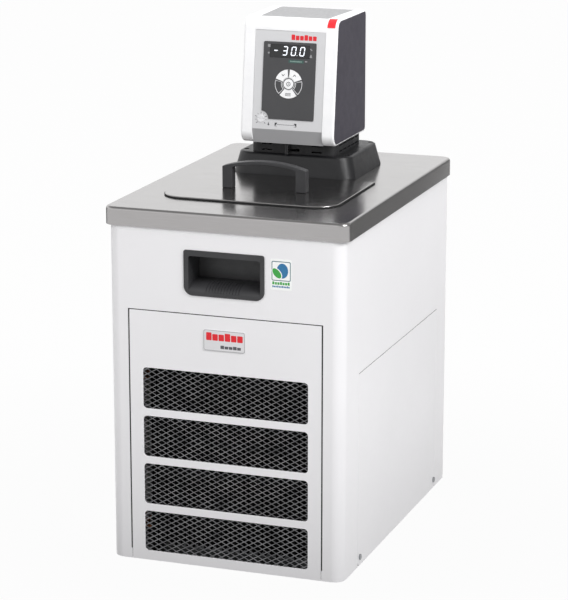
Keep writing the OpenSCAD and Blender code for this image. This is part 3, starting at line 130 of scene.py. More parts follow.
# The camera that was fitted to the photograph, in metres, degrees and pixels
CAMERA_PLACE = (1.1077, -3.1159, 1.1458)
CAMERA_PITCH = 14.195
CAMERA_TURN = 19.614
FOCAL_PIXELS = 2517.7
PICTURE_HEIGHT = 600.0
SENSOR_HEIGHT = 24.0


# Colours and materials


def linear(hex_colour):
    """Linear RGBA of an sRGB hex colour."""
    parts = [int(hex_colour.lstrip("#")[i : i + 2], 16) / 255 for i in (0, 2, 4)]
    return [p / 12.92 if p <= 0.04045 else ((p + 0.055) / 1.055) ** 2.4 for p in parts] + [1.0]


def add_node(tree, kind, inputs=None, **settings):
    """Adds a node with its settings, and its inputs as values or links."""
    made = tree.nodes.new(kind)
    for key, value in settings.items():
        setattr(made, key, value)
    for socket, value in (inputs or {}).items():
        if isinstance(value, bpy.types.NodeSocket):
            tree.links.new(value, made.inputs[socket])
        else:
            made.inputs[socket].default_value = value
    return made


def per_metre(size_mm):
    """Noise scale at which one feature is size_mm wide."""
    return 1000.0 / size_mm


class Finish:
    """A Principled material that is built up layer by layer on Object coordinates."""

    def __init__(self, name, colour, roughness, metallic=0.0, **sockets):
        self.material = bpy.data.materials.new(name)
        self.material.use_nodes = True
        self.tree = self.material.node_tree
        self.shader = self.tree.nodes["Principled BSDF"]
        self.place = self.add("ShaderNodeTexCoord").outputs["Object"]
        self.colour = self.rgb(colour)
        self.roughness = roughness
        self.height = None
        self.shader.inputs["Metallic"].default_value = metallic
        for socket, value in sockets.items():
            self.shader.inputs[socket.replace("_", " ")].default_value = value

    def add(self, kind, inputs=None, **settings):
        return add_node(self.tree, kind, inputs, **settings)

    def rgb(self, colour):
        made = self.add("ShaderNodeRGB")
        made.outputs[0].default_value = linear(colour)
        return made.outputs[0]

    def stretched(self, stretch):
        return self.add("ShaderNodeMapping", {"Vector": self.place, "Scale": stretch}).outputs[0]

    def noise(self, size_mm, detail=3.0, stretch=None):
        place = self.stretched(stretch) if stretch else self.place
        inputs = {"Vector": place, "Scale": per_metre(size_mm), "Detail": detail, "Roughness": 0.55}
        return self.add("ShaderNodeTexNoise", inputs).outputs["Fac"]

    def cells(self, size_mm, feature="F1"):
        inputs = {"Vector": self.place, "Scale": per_metre(size_mm)}
        return self.add("ShaderNodeTexVoronoi", inputs, feature=feature).outputs["Distance"]

    def spread(self, value, low, high, start=0.35, end=0.65):
        inputs = {"Value": value, "From Min": start, "From Max": end, "To Min": low, "To Max": high}
        return self.add("ShaderNodeMapRange", inputs).outputs[0]

    def math(self, operation, a, b=0.0):
        return self.add("ShaderNodeMath", {0: a, 1: b}, operation=operation).outputs[0]

    def mix(self, factor, a, b):
        made = self.add("ShaderNodeMix", data_type="RGBA")
        for index, value in ((0, factor), (6, a), (7, b)):
            if isinstance(value, bpy.types.NodeSocket):
                self.tree.links.new(value, made.inputs[index])
            else:
                made.inputs[index].default_value = value
        return made.outputs[2]

    def tint(self, factor, colour):
        """Lays another colour over the finish where factor is high."""
        self.colour = self.mix(factor, self.colour, self.rgb(colour))
        return self

    def shine(self, value, low, high):
        """Varies the roughness between two values."""
        self.roughness = self.spread(value, low, high)
        return self

    def relief(self, value, depth_mm, strength=1.0):
        """Adds a bump of a real depth."""
        inputs = {"Height": value, "Distance": depth_mm * MM, "Strength": strength}
        if self.height is not None:
            inputs["Normal"] = self.height
        self.height = self.add("ShaderNodeBump", inputs).outputs[0]
        return self

    def axis(self, letter):
        return self.add("ShaderNodeSeparateXYZ", {0: self.place}).outputs[letter]

    def done(self):
        self.tree.links.new(self.colour, self.shader.inputs["Base Color"])
        if isinstance(self.roughness, bpy.types.NodeSocket):
            self.tree.links.new(self.roughness, self.shader.inputs["Roughness"])
        else:
            self.shader.inputs["Roughness"].default_value = self.roughness
        if self.height is not None:
            self.tree.links.new(self.height, self.shader.inputs["Normal"])
        return self.material


def powder_coat(name, colour, shade):
    """Powder-coated steel sheet, baked: a satin skin with a fine orange peel and a hardly visible mottle."""
    f = Finish(name, colour, 0.42, IOR=1.5)
    f.tint(f.spread(f.noise(160.0), 0.0, 0.35), shade)
    f.shine(f.noise(9.0), 0.36, 0.5)
    f.relief(f.noise(1.6, 2.0), 0.02)
    return f.done()


def brushed_steel(name, colour, shade, along, rough):
    """Brushed 1.4301 stainless sheet: fine parallel scratches and soft streaks along the brushing."""
    f = Finish(name, colour, rough[0], 1.0)
    streaks = f.noise(0.9, 4.0, stretch=along)
    f.tint(f.spread(streaks, 0.0, 0.5), shade)
    f.tint(f.spread(f.noise(90.0), 0.0, 0.2), shade)
    f.shine(f.math("ADD", f.math("MULTIPLY", streaks, 0.8), f.math("MULTIPLY", f.noise(60.0), 0.2)), *rough)
    f.relief(f.noise(0.7, 3.0, stretch=along), 0.004)
    return f.done()


def moulded(name, colour, shade, rough, grain_mm, depth_mm):
    """Injection-moulded plastic: spark-eroded grain, slight mottle, and sheen that changes over the surface."""
    f = Finish(name, colour, rough[0], IOR=1.47)
    f.tint(f.spread(f.noise(28.0), 0.0, 0.55), shade)
    grain = f.noise(grain_mm, 2.0)
    f.tint(f.spread(grain, 0.0, 0.3), shade)
    f.shine(f.math("ADD", f.math("MULTIPLY", grain, 0.5), f.math("MULTIPLY", f.noise(12.0), 0.5)), *rough)
    f.relief(grain, depth_mm)
    return f.done()


def bare_metal(name, colour, shade, rough, grain_mm=2.0):
    """Drawn, turned or cast metal: a brushed-down skin with darker patches."""
    f = Finish(name, colour, rough[0], 1.0)
    f.tint(f.spread(f.noise(18.0), 0.0, 0.7), shade)
    f.shine(f.noise(5.0), *rough)
    f.relief(f.noise(grain_mm, 3.0), 0.02)
    return f.done()


def front_grey(name, colour, shade, chamfer_shade):
    """Satin lacquer on the grey mouldings; the chamfer below and the inset above are tinted a darker grey as painted
    shade.
    """
    f = Finish(name, colour, 0.4, IOR=1.5)
    f.tint(f.spread(f.noise(30.0), 0.0, 0.4), shade)
    # Painted shade: darker grey on the chamfer below the face's foot, which faces down.
    below = f.spread(f.axis("Z"), 1.0, 0.0, FACE_FOOT.z - 0.0008, FACE_FOOT.z + 0.0002)
    f.tint(below, chamfer_shade)
    # Painted shade: darker grey on the top's inset, which lies in shade.
    inset = f.spread(f.axis("Z"), 0.0, 1.0, HEAD_TOP - 0.008, HEAD_TOP - 0.006)
    f.tint(inset, "#9C9C9E")
    f.shine(f.noise(6.0), 0.34, 0.46)
    f.relief(f.noise(0.9, 2.0), 0.012)
    return f.done()


def foamed(name, colour, shade):
    """Cut polyurethane foam: open cells a few millimetres wide."""
    f = Finish(name, colour, 0.9, IOR=1.45)
    cells = f.cells(3.0)
    f.tint(f.spread(cells, 0.6, 0.0, 0.1, 0.6), shade)
    f.relief(cells, 0.6)
    f.relief(f.noise(20.0), 1.0)
    return f.done()


def circuit_board(name, colour, copper_trace):
    """Glass-epoxy board under solder resist: paler traces on a close grid."""
    f = Finish(name, colour, 0.35, IOR=1.55)
    brick = f.add("ShaderNodeTexBrick", {"Vector": f.place, "Scale": per_metre(6.0), "Mortar Size": 0.03})
    f.tint(f.math("MULTIPLY", brick.outputs["Fac"], 0.6), copper_trace)
    f.shine(f.noise(4.0), 0.28, 0.5)
    f.relief(brick.outputs["Fac"], 0.04)
    return f.done()


def dark_glass(name, colour):
    """Tinted acrylic window: smooth and glossy, with the faint waviness of a moulding."""
    f = Finish(name, colour, 0.08, IOR=1.49)
    f.tint(f.spread(f.noise(14.0), 0.0, 0.4), "#222325")
    f.shine(f.noise(8.0), 0.06, 0.12)
    f.relief(f.noise(10.0, 1.0), 0.01)
    return f.done()


def ink(name, colour, shade, rough=0.55):
    """Screen-printed ink: matt, with small flecks where the film is thinner."""
    f = Finish(name, colour, rough, IOR=1.5)
    f.tint(f.spread(f.noise(1.2, 4.0), 0.0, 0.25), shade)
    f.shine(f.noise(2.0), rough - 0.08, rough + 0.08)
    f.relief(f.noise(0.6, 2.0), 0.008)
    return f.done()


def lit_segment(name, colour):
    """Lit segment of the display: white light through a diffusing strip, a little weaker in places."""
    f = Finish(name, colour, 0.4, IOR=1.49)
    f.tint(f.spread(f.noise(3.0), 0.0, 0.3), "#D5DCE4")
    f.shader.inputs["Emission Color"].default_value = linear(colour)
    f.shader.inputs["Emission Strength"].default_value = 0.55
    f.shine(f.noise(2.0), 0.3, 0.45)
    return f.done()


def make_finishes(colours):
    """One material for each of the record's slots, and the inks."""
    c = colours
    return {
        "white_sheet": powder_coat("powder_coated_steel", c.cabinet, "#EBEAEC"),
        "brushed_top": brushed_steel("brushed_stainless", c.steel, "#A8A6A5", (0.03, 1.0, 1.0), (0.15, 0.23)),
        "bath_steel": brushed_steel("drawn_stainless", "#C2C1BF", "#9C9A98", (1.0, 1.0, 0.1), (0.22, 0.38)),
        "dark_moulding": moulded("grained_polyamide_dark", c.dark_moulding, "#1A1A1C", (0.32, 0.46), 0.9, 0.04),
        "grip_moulding": moulded("grained_polyamide_grey", "#39393B", "#2B2B2D", (0.36, 0.5), 0.9, 0.04),
        "black_moulding": moulded("grained_polyamide_black", "#242426", "#19191B", (0.45, 0.62), 0.9, 0.05),
        "head_white": moulded("white_abs", c.head, "#F2F2F4", (0.3, 0.42), 1.2, 0.012),
        # The last colour is the painted shade on the front's chamfer; the inset's painted shade is set inside
        # front_grey.
        "head_grey": front_grey("satin_lacquered_abs", c.front, "#D0D0D2", "#A9A9AB"),
        "cheek_grey": moulded("matt_abs_grey", c.cheek, "#35323C", (0.5, 0.62), 0.8, 0.03),
        "keypad_foil": moulded("keypad_polyester_foil", c.keypad, "#414143", (0.42, 0.55), 0.7, 0.012),
        "display_glass": dark_glass("tinted_acrylic", "#1B1C1D"),
        "red_mark": moulded("red_polycarbonate", c.mark, "#E2323A", (0.28, 0.4), 1.5, 0.01),
        "adjuster_plastic": moulded("white_acetal", "#E6E6E8", "#D6D6D9", (0.35, 0.5), 1.0, 0.015),
        "badge_metal": powder_coat("lacquered_aluminium", "#E2E1E3", "#D6D5D8"),
        "black_mesh": bare_metal("black_expanded_steel", "#828284", "#4C4C4E", (0.36, 0.52), 1.2),
        "zinc_steel": bare_metal("zinc_plated_steel", "#A9ABAD", "#85888C", (0.3, 0.5)),
        "stub_steel": bare_metal("turned_stainless", "#BDBBB8", "#9A9896", (0.2, 0.34), 0.8),
        "foot_rubber": moulded("moulded_rubber", "#1C1C1D", "#121213", (0.7, 0.85), 1.4, 0.06),
        "foam": foamed("cut_foam", "#D9CDA0", "#B9AB79"),
        "fin_aluminium": bare_metal("black_lacquered_fins", "#1B1B1C", "#101011", (0.5, 0.7)),
        "motor_metal": bare_metal("cast_motor_case", "#6D7074", "#54575B", (0.4, 0.6), 1.5),
        "rotor_steel": bare_metal("ground_steel", "#B4B5B7", "#96989B", (0.18, 0.3), 0.8),
        "fan_plastic": moulded("fan_polypropylene", "#232426", "#191A1B", (0.4, 0.55), 1.0, 0.03),
        "copper": bare_metal("soft_copper", "#C77B4E", "#9C5B38", (0.25, 0.42)),
        "board_green": circuit_board("circuit_board", "#1F5B38", "#3B8A58"),
        "lever_blue": moulded("blue_polyamide", "#2A5FA8", "#214C88", (0.35, 0.5), 1.0, 0.02),
        "ink_white": ink("print_white", "#E4E4E6", "#D2D2D5"),
        "ink_grey": ink("print_grey", "#9A9A9C", "#88888B"),
        # This dark grey serves only as painted shade beside the gaps between the keys.
        "ink_panel": ink("print_panel_grey", "#4C4C4E", "#444446"),
        "ink_dark": ink("print_dark", "#56565A", "#434346"),
        "ink_red": ink("print_red", "#E2202C", "#C81A26"),
        "ink_teal": ink("print_teal", "#3B5853", "#334C48"),
        "ink_pale_teal": ink("print_pale_teal", "#829C94", "#748C85"),
        "ink_blue": ink("print_blue", "#2F76A5", "#25648F"),
        "ink_green": ink("print_green", "#3FA447", "#2E8C38"),
        "ink_frame": ink("print_slate", "#4A7078", "#3F6169"),
        "vinyl": ink("white_vinyl", "#FAFBFA", "#EFF1F0", 0.35),
        "segment": lit_segment("display_segment", "#F4F8FF"),
    }


FINISHES = {}


# Modelling helpers


def select_only(*objects):
    """Object mode with just these objects selected, the first one active."""
    if bpy.context.object and bpy.context.object.mode != "OBJECT":
        bpy.ops.object.mode_set(mode="OBJECT")
    bpy.ops.object.select_all(action="DESELECT")
    for obj in objects:
        obj.select_set(True)
    bpy.context.view_layer.objects.active = objects[0]


def edit(obj, mode="FACE"):
    """Edit mode on one object with nothing selected."""
    select_only(obj)
    bpy.ops.object.mode_set(mode="EDIT")
    bpy.ops.mesh.select_mode(type=mode)
    bpy.ops.mesh.select_all(action="DESELECT")


def pick(obj, kind, wanted):
    """Selects the vertices, edges or faces that answer wanted, then returns to edit mode."""
    bpy.ops.object.mode_set(mode="OBJECT")
    for item in getattr(obj.data, kind):
        item.select = bool(wanted(item))
    bpy.ops.object.mode_set(mode="EDIT")


def clean_up(obj, smooth_angle=radians(35)):
    """Merges doubles, turns all faces outwards and shades curved faces smooth."""
    edit(obj)
    bpy.ops.mesh.select_all(action="SELECT")
    bpy.ops.mesh.remove_doubles(threshold=2e-6)
    bpy.ops.mesh.normals_make_consistent(inside=False)
    select_only(obj)
    bpy.ops.object.shade_smooth_by_angle(angle=smooth_angle)


def set_down(obj):
    """Applies the object's place, so that it sits at the origin with its place in its mesh."""
    select_only(obj)
    bpy.ops.object.transform_apply(location=True, rotation=True, scale=True)


def dress(obj, finish):
    """Gives a piece one of the finishes."""
    obj.data.materials.clear()
    obj.data.materials.append(FINISHES[finish])


def on_face(height):
    """Places a drawing on the head's sloping front, a height in mm above its zero face."""
    lift = Matrix.Translation((0, 0, height * MM))
    return Matrix.Translation(FACE_FOOT) @ Matrix.Rotation(pi / 2 - FACE_LEAN, 4, "X") @ lift


def on_front(x, z, stand_off):
    """Places a drawing upright in front of the cabinet's front wall."""
    return Matrix.Translation((x * MM, FRONT_Y - stand_off * MM, z * MM)) @ Matrix.Rotation(pi / 2, 4, "X")


def print_shapes(name, outlines, place, finish, body, thick=0.08):
    """A thin layer with closed outlines in mm, filled, where an outline inside another is a hole."""
    curve = bpy.data.curves.new(name, "CURVE")
    curve.dimensions = "2D"
    curve.fill_mode = "BOTH"
    curve.extrude = thick * MM / 2
    for outline in outlines:
        spline = curve.splines.new("POLY")
        spline.points.add(len(outline) - 1)
        for point, (x, y) in zip(spline.points, outline):
            point.co = (x * MM, y * MM, 0, 1)
        spline.use_cyclic_u = True
    made = bpy.data.objects.new(name, curve)
    bpy.context.collection.objects.link(made)
    select_only(made)
    bpy.ops.object.convert(target="MESH")
    made = bpy.context.object
    made.name = made.data.name = name
    made.matrix_world = place @ Matrix.Translation((0, 0, thick * MM / 2))
    set_down(made)
    clean_up(made, radians(20))
    dress(made, finish)
    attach(made, body)
    return made


def arc(cx, cy, r, start, end, steps=16):
    """Points on an arc, angles in degrees."""
    turns = [radians(start + (end - start) * i / steps) for i in range(steps + 1)]
    return [(cx + r * cos(turn), cy + r * sin(turn)) for turn in turns]


def ring_part(cx, cy, inner, outer, start, end, steps=24):
    """Outline of a sector of a ring."""
    return arc(cx, cy, outer, start, end, steps) + arc(cx, cy, inner, end, start, steps)


def disc(cx, cy, r, steps=32):
    """Outline of a full circle."""
    return arc(cx, cy, r, 0, 360 - 360 / steps, steps - 1)


def soft_box(x0, y0, x1, y1, r=0.0):
    """Outline of a rectangle with rounded corners."""
    if r <= 0:
        return [(x0, y0), (x1, y0), (x1, y1), (x0, y1)]
    corners = ((x1 - r, y0 + r, -90), (x1 - r, y1 - r, 0), (x0 + r, y1 - r, 90), (x0 + r, y0 + r, 180))
    return [p for cx, cy, a in corners for p in arc(cx, cy, r, a, a + 90, 6)]


def blocks(x0, x1, y0, y1, count, gap):
    """Outlines of plain blocks in a row, every third one a fifth taller."""
    step, height = (x1 - x0 + gap) / count, y1 - y0
    tops = [y1 + (height * 0.2 if i % 3 == 0 else 0.0) for i in range(count)]
    return [soft_box(x0 + i * step, y0, x0 + (i + 1) * step - gap, tops[i], height * 0.12) for i in range(count)]


def oval(cx, cy, half_w, half_h, turn=0.0, steps=36):
    """Outline of an ellipse turned by an angle in degrees."""
    c, s = cos(radians(turn)), sin(radians(turn))
    points = [(half_w * u, half_h * v) for u, v in disc(0, 0, 1.0, steps)]
    return [(cx + u * c - v * s, cy + u * s + v * c) for u, v in points]


def stroke(a, b, width):
    """Outline of a straight stroke between two points."""
    dx, dy = b[0] - a[0], b[1] - a[1]
    length = (dx * dx + dy * dy) ** 0.5
    nx, ny = -dy / length * width / 2, dx / length * width / 2
    return [(a[0] - nx, a[1] - ny), (b[0] - nx, b[1] - ny), (b[0] + nx, b[1] + ny), (a[0] + nx, a[1] + ny)]


# Settings


def hue(name, text, default):
    """A setting that holds a colour as sRGB hex."""
    return bpy.props.StringProperty(name=name, description=text, default=default)


def length(name, text, default, least, most):
    """A setting that holds a length in metres."""
    return bpy.props.FloatProperty(
        name=name, description=text, default=default, min=least, max=most, unit="LENGTH", subtype="DISTANCE"
    )


class CirculatorSizes(bpy.types.PropertyGroup):
    """Colours of the finishes, and sizes of the pieces that are added to the frame."""

    cabinet: hue("Cabinet", "Colour of the powder-coated cabinet", "#F0EFF1")
    steel: hue("Steel top", "Colour of the brushed steel top", "#B1AFAF")
    dark_moulding: hue("Dark mouldings", "Colour of the bridge plate and the flow selector", "#1D1D1F")
    head: hue("Head", "Colour of the head's shell", "#FCFCFD")
    front: hue("Front", "Colour of the head's front", "#D4D4D6")
    cheek: hue("Side panels", "Colour of the head's side panels", "#3C3943")
    keypad: hue("Keypad", "Colour of the keypad foil", "#454547")
    mark: hue("Corner mark", "Colour of the mark on the head's corner", "#F5262C")
    diamond_width: length("Diamond width", "Width of a diamond of the expanded metal", 0.0126, 0.006, 0.03)
    diamond_height: length("Diamond height", "Height of a diamond of the expanded metal", 0.007, 0.003, 0.02)
    strand: length("Strand", "Width of a strand of the expanded metal", 0.0011, 0.0005, 0.003)
    digit_height: length("Digit height", "Height of the digits on the display", 0.0124, 0.006, 0.014)
    # The next two settings size dark strips of painted shade in the gaps around the lid and the grille; they are not
    # rubber parts.
    lid_seal: length("Lid seal", "Thickness of the dark bead of painted shade around the lid", 0.0006, 0.0003, 0.0015)
    edging: length("Grille shade strip", "Reach of the dark strip of painted shade around the grille", 0.0017, 0.0005, 0.0017)
    edge: length("Moulded edge", "Radius on the edges of the moulded pieces", 0.0008, 0.0002, 0.002)
    reading: bpy.props.StringProperty(name="Reading", description="Temperature on the display", default="-30.0")


# Pieces


def softened(node, width, smooth=35.0, crease=50.0, segments=3):
    """A copy of a CAD node with its doubles merged and a small radius on its sharp edges, in its place."""
    source = frame["nodes"][node]
    body = source["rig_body"]
    piece = source.copy()
    piece.data = source.data.copy()
    for key in list(piece.keys()):
        del piece[key]
    piece.parent = None
    piece.matrix_world = Matrix.Identity(4)
    piece.name = piece.data.name = node + "_finished"
    bpy.context.collection.objects.link(piece)
    select_only(piece)
    if piece.data.has_custom_normals:
        bpy.ops.mesh.customdata_custom_splitnormals_clear()
    edit(piece)
    bpy.ops.mesh.select_all(action="SELECT")
    bpy.ops.mesh.remove_doubles(threshold=5e-6)
    bpy.ops.mesh.dissolve_limited(angle_limit=radians(0.4))
    select_only(piece)
    if width > 0:
        bevel = piece.modifiers.new("edge", "BEVEL")
        bevel.width = width
        bevel.segments = segments
        bevel.limit_method = "ANGLE"
        bevel.angle_limit = radians(crease)
        bevel.use_clamp_overlap = True
        bevel.miter_outer = "MITER_ARC"
        bpy.ops.object.modifier_apply(modifier=bevel.name)
    bpy.ops.object.shade_smooth_by_angle(angle=radians(smooth))
    weighted = piece.modifiers.new("flat faces", "WEIGHTED_NORMAL")
    weighted.keep_sharp = True
    bpy.ops.object.modifier_apply(modifier=weighted.name)
    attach(piece, body)
    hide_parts(node)
    return piece


class CIRCULATOR_OT_finish_frame(bpy.types.Operator):
    """Give every node of the frame the finish of its material slot"""

    bl_idname = "circulator.finish_frame"
    bl_label = "Finish the frame"

    def execute(self, context):
        FINISHES.update(make_finishes(context.scene.circulator))
        for part in frame["record"]["subparts"]:
            node = frame["nodes"][part["node"]]
            for slot in node.material_slots:
                slot.material = FINISHES[part["material_slot"]]
        return {"FINISHED"}


class CIRCULATOR_OT_soft_edges(bpy.types.Operator):
    """Put moulded and folded edges on the pieces that show"""

    bl_idname = "circulator.soft_edges"
    bl_label = "Soften edges"

    def execute(self, context):
        edge = context.scene.circulator.edge
        widths = {
            "top_cover": 0.3 * MM, "lid": 0.25 * MM, "lid_handle": edge * 1.4, "bridge_plate": edge * 0.6,
            "neck": edge * 0.4, "head_shell": edge * 0.5, "fascia": edge * 0.7, "top_inset": edge * 0.4,
            "cheek_panel_left": edge * 0.5, "cheek_panel_right": edge * 0.5, "corner_tab": edge * 0.4,
            "grip_recess": edge * 0.9, "cabinet_wrap": 0.35 * MM, "venting_grille": 0.4 * MM,
            "side_panel_left": 0.35 * MM, "side_panel_right": 0.35 * MM, "rear_panel": 0.3 * MM,
            "badge_plate": 0.25 * MM, "keypad_panel": 0.25 * MM, "display_window": 0.2 * MM,
            "key_ok": 0.25 * MM, "key_up": 0.25 * MM, "key_down": 0.25 * MM, "key_menu": 0.25 * MM,
            "cutoff_adjuster": 0.3 * MM, "flow_selector": edge * 0.6, "head_rear_cover": edge * 0.6,
            "feet": edge, "side_screws": 0.2 * MM, "bridge_screws": 0.2 * MM, "bath_tank": 0.0,
        }
        slots = {part["node"]: part["material_slot"] for part in frame["record"]["subparts"]}
        for node, width in widths.items():
            finish = "grip_moulding" if node in ("grip_recess", "lid_handle") else slots[node]
            dress(softened(node, width), finish)
        return {"FINISHED"}


class CIRCULATOR_OT_expanded_metal(bpy.types.Operator):
    """Lay the expanded metal behind the grille at its true pitch, with twisted strands"""

    bl_idname = "circulator.expanded_metal"
    bl_label = "Expanded metal"

    def execute(self, context):
        sizes = context.scene.circulator
        lo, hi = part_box("grille_mesh")
        width, height = hi.x - lo.x, hi.z - lo.z
        pitch_x, pitch_z = sizes.diamond_width, sizes.diamond_height
        reach = int(max(width / pitch_x, height / pitch_z)) + 3
        select_only(*frame["nodes"].values())
        bpy.ops.object.select_all(action="DESELECT")
        bpy.ops.mesh.primitive_grid_add(
            x_subdivisions=2 * reach, y_subdivisions=2 * reach, size=2 * reach * 2 ** -0.5, rotation=(0, 0, pi / 4)
        )
        sheet = bpy.context.object
        sheet.name = sheet.data.name = "expanded_metal"
        set_down(sheet)
        sheet.scale = (pitch_x, pitch_z, 1)
        set_down(sheet)
        edit(sheet, "FACE")
        reach_x, middle = width / 2 / MM - MESH_MARGIN, (lo.z + hi.z) / 2 / MM
        pick(sheet, "polygons", lambda f: not self.in_window(f.center.x / MM, middle + f.center.y / MM, reach_x))
        bpy.ops.mesh.delete(type="FACE")
        bpy.ops.mesh.select_all(action="SELECT")
        bpy.ops.mesh.inset(thickness=sizes.strand / 2, use_individual=True, use_even_offset=True)
        bpy.ops.object.mode_set(mode="OBJECT")
        holes = [f.index for f in sheet.data.polygons if f.select]
        tops, feet = set(), set()
        for index in holes:
            corners = sorted(sheet.data.polygons[index].vertices, key=lambda v: sheet.data.vertices[v].co.y)
            feet.add(corners[0])
            tops.add(corners[-1])
        for lifted, amount in ((feet, TWIST), (tops, -TWIST)):
            edit(sheet, "VERT")
            pick(sheet, "vertices", lambda v: v.index in lifted)
            bpy.ops.transform.translate(value=(0, 0, amount))
        edit(sheet, "FACE")
        chosen = set(holes)
        pick(sheet, "polygons", lambda f: f.index in chosen)
        bpy.ops.mesh.delete(type="FACE")
        solid = sheet.modifiers.new("gauge", "SOLIDIFY")
        solid.thickness = GAUGE
        solid.offset = 0.0
        select_only(sheet)
        bpy.ops.object.modifier_apply(modifier=solid.name)
        centre = (lo + hi) / 2
        sheet.matrix_world = Matrix.Translation(centre) @ Matrix.Rotation(pi / 2, 4, "X")
        set_down(sheet)
        clean_up(sheet, radians(20))
        dress(sheet, "black_mesh")
        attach(sheet, "grille")
        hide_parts("grille_mesh")
        return {"FINISHED"}

    @staticmethod
    def in_window(x, z, reach_x):
        """True where a diamond shows through a window, or lies close around one; all in mm."""
        lows = [WINDOW_LOW + i * WINDOW_STEP for i in range(WINDOW_COUNT)]
        in_row = any(low - WINDOW_MARGIN < z < low + WINDOW_HEIGHT + WINDOW_MARGIN for low in lows)
        return in_row and abs(x) <= reach_x


SEGMENTS = {
    "0": "abcdef", "1": "bc", "2": "abged", "3": "abgcd", "4": "fgbc", "5": "afgcd",
    "6": "afgcde", "7": "abc", "8": "abcdefg", "9": "abcdfg", "-": "g",
}


class CIRCULATOR_OT_display(bpy.types.Operator):
    """Light the display's seven-segment reading"""

    bl_idname = "circulator.display"
    bl_label = "Display reading"

    def execute(self, context):
        sizes = context.scene.circulator
        height = sizes.digit_height / MM
        x, outlines = LAST_DIGIT, []
        for sign in reversed(sizes.reading):
            if sign == ".":
                outlines.append(disc(x + DIGIT_PITCH - 7.2, DIGIT_LEVEL - height / 2 + 0.5, 0.5, 12))
                continue
            shift = 0.7 if sign == "-" else 0.0
            outlines += [self.segment(part, x - shift, DIGIT_LEVEL, height) for part in SEGMENTS[sign]]
            x -= DIGIT_PITCH
        print_shapes("display_digits", outlines, on_face(DISPLAY_FACE), "segment", "cabinet")
        return {"FINISHED"}

    @staticmethod
    def segment(part, x, y, height):
        """Outline of one bar of a digit, six-sided, slanted with the digit."""
        wide, thick = height * DIGIT_WIDTH, height * DIGIT_STROKE
        run, gap = (wide if part in "adg" else height / 2), thick * 0.12
        half, t = run / 2 - gap, thick / 2
        bar = [(-half, 0), (-half + t, -t), (half - t, -t), (half, 0), (half - t, t), (-half + t, t)]
        if part not in "adg":
            bar = [(-v, u) for u, v in bar]
        cx = {"b": wide / 2, "c": wide / 2, "e": -wide / 2, "f": -wide / 2}.get(part, 0)
        level = height / 2 - t
        cy = {"a": level, "d": -level, "b": level / 2, "f": level / 2, "c": -level / 2, "e": -level / 2}.get(part, 0)
        if part not in "adg":
            bar = [(u, v * level / (height / 2)) for u, v in bar]
        return [(x + cx + u + (cy + v) * DIGIT_SLANT, y + cy + v) for u, v in bar]


class CIRCULATOR_OT_panel_print(bpy.types.Operator):
    """Print the head's front: key outlines, signs, scales and plain fields"""

    bl_idname = "circulator.panel_print"
    bl_label = "Panel print"

    def execute(self, context):
        keypad, front = on_face(KEYPAD_FACE), on_face(FASCIA_FACE)
        lines = []
        for start, end in ((166, 226), (314, 374)):
            outer = ring_part(0, RING_HEIGHT, RING_INNER, RING_OUTER, start, end)
            inner = ring_part(0, RING_HEIGHT, RING_INNER + RING_LINE, RING_OUTER - RING_LINE, start + 3.0, end - 3.0)
            lines += [outer, inner]
        lines += [disc(0, RING_HEIGHT, 8.45, 48), disc(0, RING_HEIGHT, 7.75, 48)]
        print_shapes("key_ring_print", lines, keypad, "ink_white", "cabinet", INK)
        signs = [
            soft_box(-31.0, 109.4, -27.6, 113.2, 0.4), disc(-29.6, 101.7, 1.25, 16),
            stroke((28.6, 109.4), (31.4, 107.0), 1.3), soft_box(21.8, 91.4, 25.0, 92.9, 0.3),
        ]
        print_shapes("panel_signs", signs, keypad, "ink_grey", "cabinet", INK)
        bell = [(27.8, 97.6), (32.0, 97.6), (31.3, 98.8), (30.9, 100.6)] + arc(29.9, 100.8, 0.9, 0, 180, 8)
        bell += [(28.9, 100.6), (28.5, 98.8)]
        print_shapes("alarm_sign", [bell], keypad, "ink_grey", "cabinet", INK)
        print_shapes("panel_field", [soft_box(-1.2, 89.6, 20.0, 93.8, 0.3)], keypad, "ink_teal",
                     "cabinet", INK)
        print_shapes("panel_bars", blocks(1.0, 17.6, 90.9, 92.3, 9, 0.35), on_face(KEYPAD_FACE + INK),
                     "ink_pale_teal", "cabinet", 0.04)
        print_shapes("front_field", blocks(1.5, 36.6, 120.0, 126.0, 6, 1.0), front, "ink_red",
                     "cabinet", INK)
        self.dial_scale(front)
        self.flow_scale(front)
        return {"FINISHED"}

    @staticmethod
    def dial_scale(front):
        """Tick marks around the over-temperature adjuster, every other one longer."""
        cx, cy = DIAL_CENTRE
        marks = []
        for i in range(DIAL_TICKS):
            a = radians(225 - i * 270 / (DIAL_TICKS - 1))
            outer, wide = (8.4, 0.5) if i % 2 else (9.0, 0.8)
            ends = [(cx + r * cos(a), cy + r * sin(a)) for r in (6.6, outer)]
            marks.append(stroke(*ends, wide))
        print_shapes("adjuster_scale", marks, front, "ink_dark", "cabinet", INK)

    @staticmethod
    def flow_scale(front):
        """Drop and bracketed line over the flow selector."""
        drop = arc(-26.4, 6.2, 1.25, 150, 390, 14) + [(-26.4, 9.2)]
        marks = [drop]
        for side, x in ((1, -17.4), (-1, 12.9)):
            marks.append(stroke((x, 4.6), (x, 9.0), 0.45))
            marks.append(stroke((x, 9.0), (x + side * 3.4, 9.0), 0.45))
            marks.append(stroke((x, 4.6), (x + side * 3.4, 4.6), 0.45))
        marks.append(stroke((-14.5, 6.8), (10.0, 6.8), 0.5))
        print_shapes("flow_scale", marks, front, "ink_dark", "cabinet", INK)


